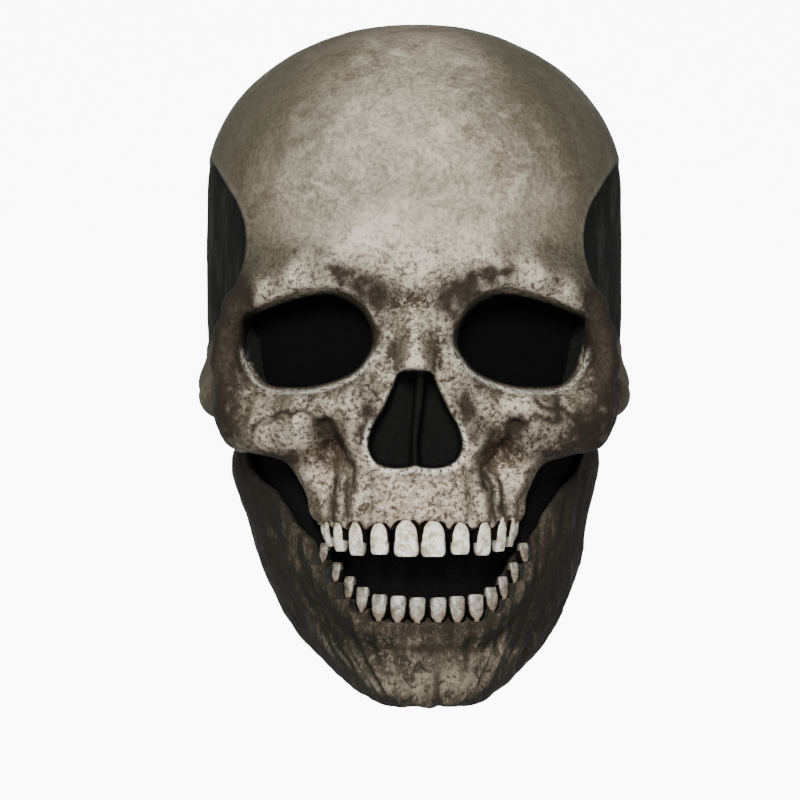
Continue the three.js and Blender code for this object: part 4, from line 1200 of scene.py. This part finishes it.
def bone_latex():
    f = Finish("bone latex", 0.7)
    f.shader.inputs["Specular IOR Level"].default_value = 0.12
    cloud = f.noise(16, 6, 0.62, 0.6)
    speck = f.noise(520, 5, 0.72, 0.3)
    grit = f.value("grit")
    c = f.mix(f.span(cloud, 0.35, 0.65), BONE_GREY, BONE)
    c = f.layer(c, f.value("lower"), 0.45, BROWN_BONE)
    c = f.layer(c, f.span(f.noise(55, 6, 0.7, 0.8), 0.50, 0.66), 0.5, BONE_PALE)
    stains = f.math("MULTIPLY", f.span(f.noise(30, 6, 0.72, 1.2), 0.50, 0.66), 0.65)
    c = f.mix(stains, c, STAIN)
    # Painted highlights on the brow and forehead, with pale rubbed patches on the cheeks and upper jaw.
    c = f.layer(c, f.value("bleach_and_highlight"), 0.75, BONE_PALE)
    high = f.math("MULTIPLY", f.span(f.value("hollow"), 0.44, 0.20), 0.5)
    c = f.mix(high, c, BONE_PALE)
    # Painted shade on the faces that turn away from the front.
    c = f.layer(c, f.value("edge"), 0.86, OLIVE_SHADE)
    deep = f.math("MULTIPLY", f.span(f.value("hollow"), 0.52, 0.78), 0.9)
    c = f.mix(deep, c, WASH)
    wide = f.math("MULTIPLY", f.span(f.value("hollow_wide"), 0.54, 0.84), 0.65)
    c = f.mix(wide, c, STAIN)
    mottle = f.noise(150, 5, 0.72, 1.0)
    # Pale patches only where no painted edge shade lies.
    face_only = f.math("MULTIPLY", grit, f.span(f.value("edge"), 0.8, 0.1))
    pale_patches = f.math("MULTIPLY", f.span(mottle, 0.47, 0.36), face_only)
    c = f.layer(c, pale_patches, 0.7, BONE_PALE)
    dark_patches = f.math("MULTIPLY", f.span(mottle, 0.51, 0.64), grit)
    c = f.layer(c, dark_patches, 0.85, DIRT)
    dark_specks = f.math("MULTIPLY", f.span(speck, 0.50, 0.40), f.math("MULTIPLY", grit, 0.85))
    c = f.mix(dark_specks, c, (0.038, 0.027, 0.017))
    # Pale specks, dimmed to dark olive inside the painted edge shade.
    pale_specks = f.math("MULTIPLY", f.span(speck, 0.52, 0.62), f.math("MULTIPLY", grit, 0.65))
    c = f.mix(pale_specks, c, f.mix(f.value("edge"), BONE_PALE, (0.14, 0.125, 0.09)))
    c = f.layer(c, f.value("shade"), 0.96, (0.016, 0.011, 0.007))
    c = f.mix(f.value("crack"), c, WASH)
    c = f.mix(f.math("MULTIPLY", f.value("lit"), f.span(speck, 0.40, 0.55)), c, (0.74, 0.69, 0.60))
    c = f.mix(f.value("black"), c, SOOT)
    streak = f.span(f.noise(90, 5, 0.7, 0.5, (1, 1, 0.3)), 0.45, 0.72)
    c = f.mix(f.value("temple"), c, f.mix(streak, SOOT, (0.020, 0.021, 0.016)))
    c = f.mix(f.value("inside"), c, INSIDE)
    f.colour(c)
    fine = f.noise(900, 3, 0.7)
    relief = f.math("ADD", f.math("MULTIPLY", speck, 0.7), f.math("MULTIPLY", fine, 0.3))
    f.bump(relief, 0.0016, 0.8)
    return f.material


# %% [markdown]
# ## The jaw's paint
# The jaw is browner and darker than the head, with a streaked wash that runs down the folds and a pale
# dry brush on the chin, a painted highlight along its lower border and painted shade on its sides.

# %% Jaw latex
def jaw_latex():
    f = Finish("jaw latex", 0.75)
    f.shader.inputs["Specular IOR Level"].default_value = 0.12
    cloud = f.noise(26, 6, 0.65, 0.8)
    streak = f.noise(150, 5, 0.75, 0.5, (1, 1, 0.3))
    speck = f.noise(480, 5, 0.75, 0.3)
    c = f.mix(f.span(cloud, 0.35, 0.65), (0.015, 0.012, 0.008), (0.040, 0.030, 0.020))
    c = f.layer(c, f.span(streak, 0.51, 0.64), 0.75, (0.22, 0.18, 0.13))
    # Painted highlight on the lower border, with pale dry brush on the chin.
    c = f.layer(c, f.value("bleach_and_highlight"), 0.8, (0.27, 0.23, 0.17))
    patches = f.span(f.noise(110, 5, 0.72, 1.0), 0.50, 0.64)
    c = f.layer(c, patches, 0.85, (0.014, 0.011, 0.008))
    c = f.layer(c, f.span(speck, 0.48, 0.36), 0.9, (0.018, 0.014, 0.010))
    c = f.layer(c, f.span(speck, 0.54, 0.66), 0.45, (0.30, 0.26, 0.20))
    deep = f.math("MULTIPLY", f.span(f.value("hollow"), 0.50, 0.72), 0.95)
    c = f.mix(deep, c, WASH)
    # Dark fold lines, with painted shade in the chin cleft and under the lower teeth.
    c = f.layer(c, f.value("crack"), 0.9, WASH)
    # Painted shade on the sides and upper corners of the jaw.
    c = f.layer(c, f.value("edge"), 0.86, (0.010, 0.010, 0.007))
    c = f.layer(c, f.span(streak, 0.55, 0.68), 0.35, (0.085, 0.074, 0.054))
    c = f.mix(f.value("inside"), c, INSIDE)
    f.colour(c)
    f.bump(f.math("ADD", streak, f.math("MULTIPLY", speck, 0.6)), 0.0016, 0.8)
    return f.material


# %% [markdown]
# ## Teeth, cloth and mesh
# The teeth are ivory with brown necks, and older in the lower row. The cloth and the mesh are nearly
# black and hardly shine.

# %% Tooth enamel
def enamel():
    f = Finish("tooth enamel", 0.35)
    blotch = f.noise(260, 5, 0.7, 0.4)
    c = f.mix(f.span(blotch, 0.36, 0.60), (0.36, 0.30, 0.20), (0.92, 0.88, 0.77))
    aged = f.math("MULTIPLY", f.value("aged"), f.span(blotch, 0.38, 0.66, 1.0, 0.76))
    c = f.mix(aged, c, (0.075, 0.060, 0.042))
    # Brown neck stain, with painted shade at the gum.
    c = f.layer(c, f.value("neck"), 0.45, (0.26, 0.20, 0.13))
    # Painted shade on the tooth flanks.
    c = f.layer(c, f.value("flank"), 0.75, (0.07, 0.055, 0.04))
    f.colour(c)
    f.bump(f.noise(300, 3, 0.6), 0.0006, 0.5)
    return f.material


# %% Black cloth
def black_cloth():
    f = Finish("black cloth", 0.95)
    f.shader.inputs["Specular IOR Level"].default_value = 0.1
    weave = f.noise(1500, 2, 0.5)
    f.colour(f.mix(f.span(weave, 0.3, 0.7), (0.0015, 0.0015, 0.0015), (0.004, 0.004, 0.004)))
    f.bump(weave, 0.0003, 0.4)
    return f.material


# %% Eye mesh finish
def eye_mesh():
    f = Finish("eye mesh", 0.85)
    f.shader.inputs["Specular IOR Level"].default_value = 0.06
    node = f.tree.nodes.new("ShaderNodeTexVoronoi")
    node.inputs["Scale"].default_value = 1100
    f.link(f.places, node.inputs["Vector"])
    holes = f.span(node.outputs["Distance"], 0.15, 0.5)
    f.colour(f.mix(holes, (0.0004, 0.0004, 0.0005), (0.0014, 0.0015, 0.0014)))
    f.bump(holes, 0.0003, 0.3)
    return f.material


# %% Paint every piece
finished(skull, bone_latex(), "bone_latex", "skull_shell")
finished(jaw_skin, jaw_latex(), "jaw_latex", "jaw_shell")
tooth_finish = enamel()
for made, node in teeth:
    finished(made, tooth_finish, "tooth_enamel", node)
# Near-black finish for the seat rims: painted shadow round the teeth.
rim_finish = Finish("seat shadow", 0.95)
rim_finish.shader.inputs["Base Color"].default_value = (0.004, 0.003, 0.002, 1)
rim_finish.shader.inputs["Specular IOR Level"].default_value = 0.05
finished(rims[0], rim_finish.material, "bone_latex")
finished(rims[1], rim_finish.material, "jaw_latex")
finished(cloth, black_cloth(), "black_cloth", "mouth_cloth")
screen_finish = eye_mesh()
for made, node in screens:
    finished(made, screen_finish, "eye_mesh", node)

# %% [markdown]
# ## Studio
# A pale floor, a white wall far behind, one large soft light in front and above, and little else, so
# the sides of the head fall off into shade, which painted shade on the sides deepens.

# %% Floor and wall
def plain(name, colour, glow=0.0):
    f = Finish(name, 0.9)
    f.shader.inputs["Base Color"].default_value = (*colour, 1)
    f.shader.inputs["Emission Color"].default_value = (1, 1, 1, 1)
    f.shader.inputs["Emission Strength"].default_value = glow
    return f.material


def panel(name, size, place, turn, material):
    s = size / 2 / MM
    corners = np.array([[-s, -s, 0], [s, -s, 0], [s, s, 0], [-s, s, 0]])
    made = mesh_object(name, corners, np.array([[0, 1, 2, 3]]))
    made.location = place
    made.rotation_euler = turn
    made.data.materials.append(material)
    return made


panel("studio_floor", 12, (0, 3, -1.05), (0, 0, 0), plain("studio floor", (0.85, 0.85, 0.85)))
panel("studio_wall", 3.2, (0, 7, 0.2), (math.pi / 2, 0, 0), plain("studio wall", (0.9, 0.9, 0.9), 9.0))


# %% Lights
def lamp(name, place, size, watts, aim=(0, -0.02, -0.13)):
    data = bpy.data.lights.new(name, "AREA")
    data.shape = "DISK"
    data.size = size
    data.energy = watts
    made = bpy.data.objects.new(name, data)
    bpy.context.scene.collection.objects.link(made)
    made.location = place
    made.rotation_euler = (Vector(aim) - Vector(place)).to_track_quat("-Z", "Y").to_euler()
    return made


lamp("key_light", (-0.18, -1.5, 0.55), 0.5, 41)
lamp("fill_light", (0.5, -1.7, -0.35), 0.9, 5)
world = bpy.data.worlds.new("studio air")
bpy.context.scene.world = world
world.use_nodes = True
world.node_tree.nodes["Background"].inputs["Color"].default_value = (1, 1, 1, 1)
world.node_tree.nodes["Background"].inputs["Strength"].default_value = 0.55

# %% [markdown]
# ## The camera
# It stands level with the middle of the face, two metres off, as for a product picture. The focal
# length is given in picture points, because that is how the size of the head in the view is read.

# %% Camera
SENSOR = 36
FOCAL_POINTS = 4733
PICTURE_POINTS = 800
camera_data = bpy.data.cameras.new("camera")
camera_data.sensor_width = SENSOR
camera_data.lens = SENSOR * FOCAL_POINTS / PICTURE_POINTS
camera_data.clip_end = 50
camera = bpy.data.objects.new("camera", camera_data)
bpy.context.scene.collection.objects.link(camera)
camera.location = (-0.0064, -2.1, -0.1638)
camera.rotation_euler = (math.pi / 2, 0, 0)
bpy.context.scene.camera = camera
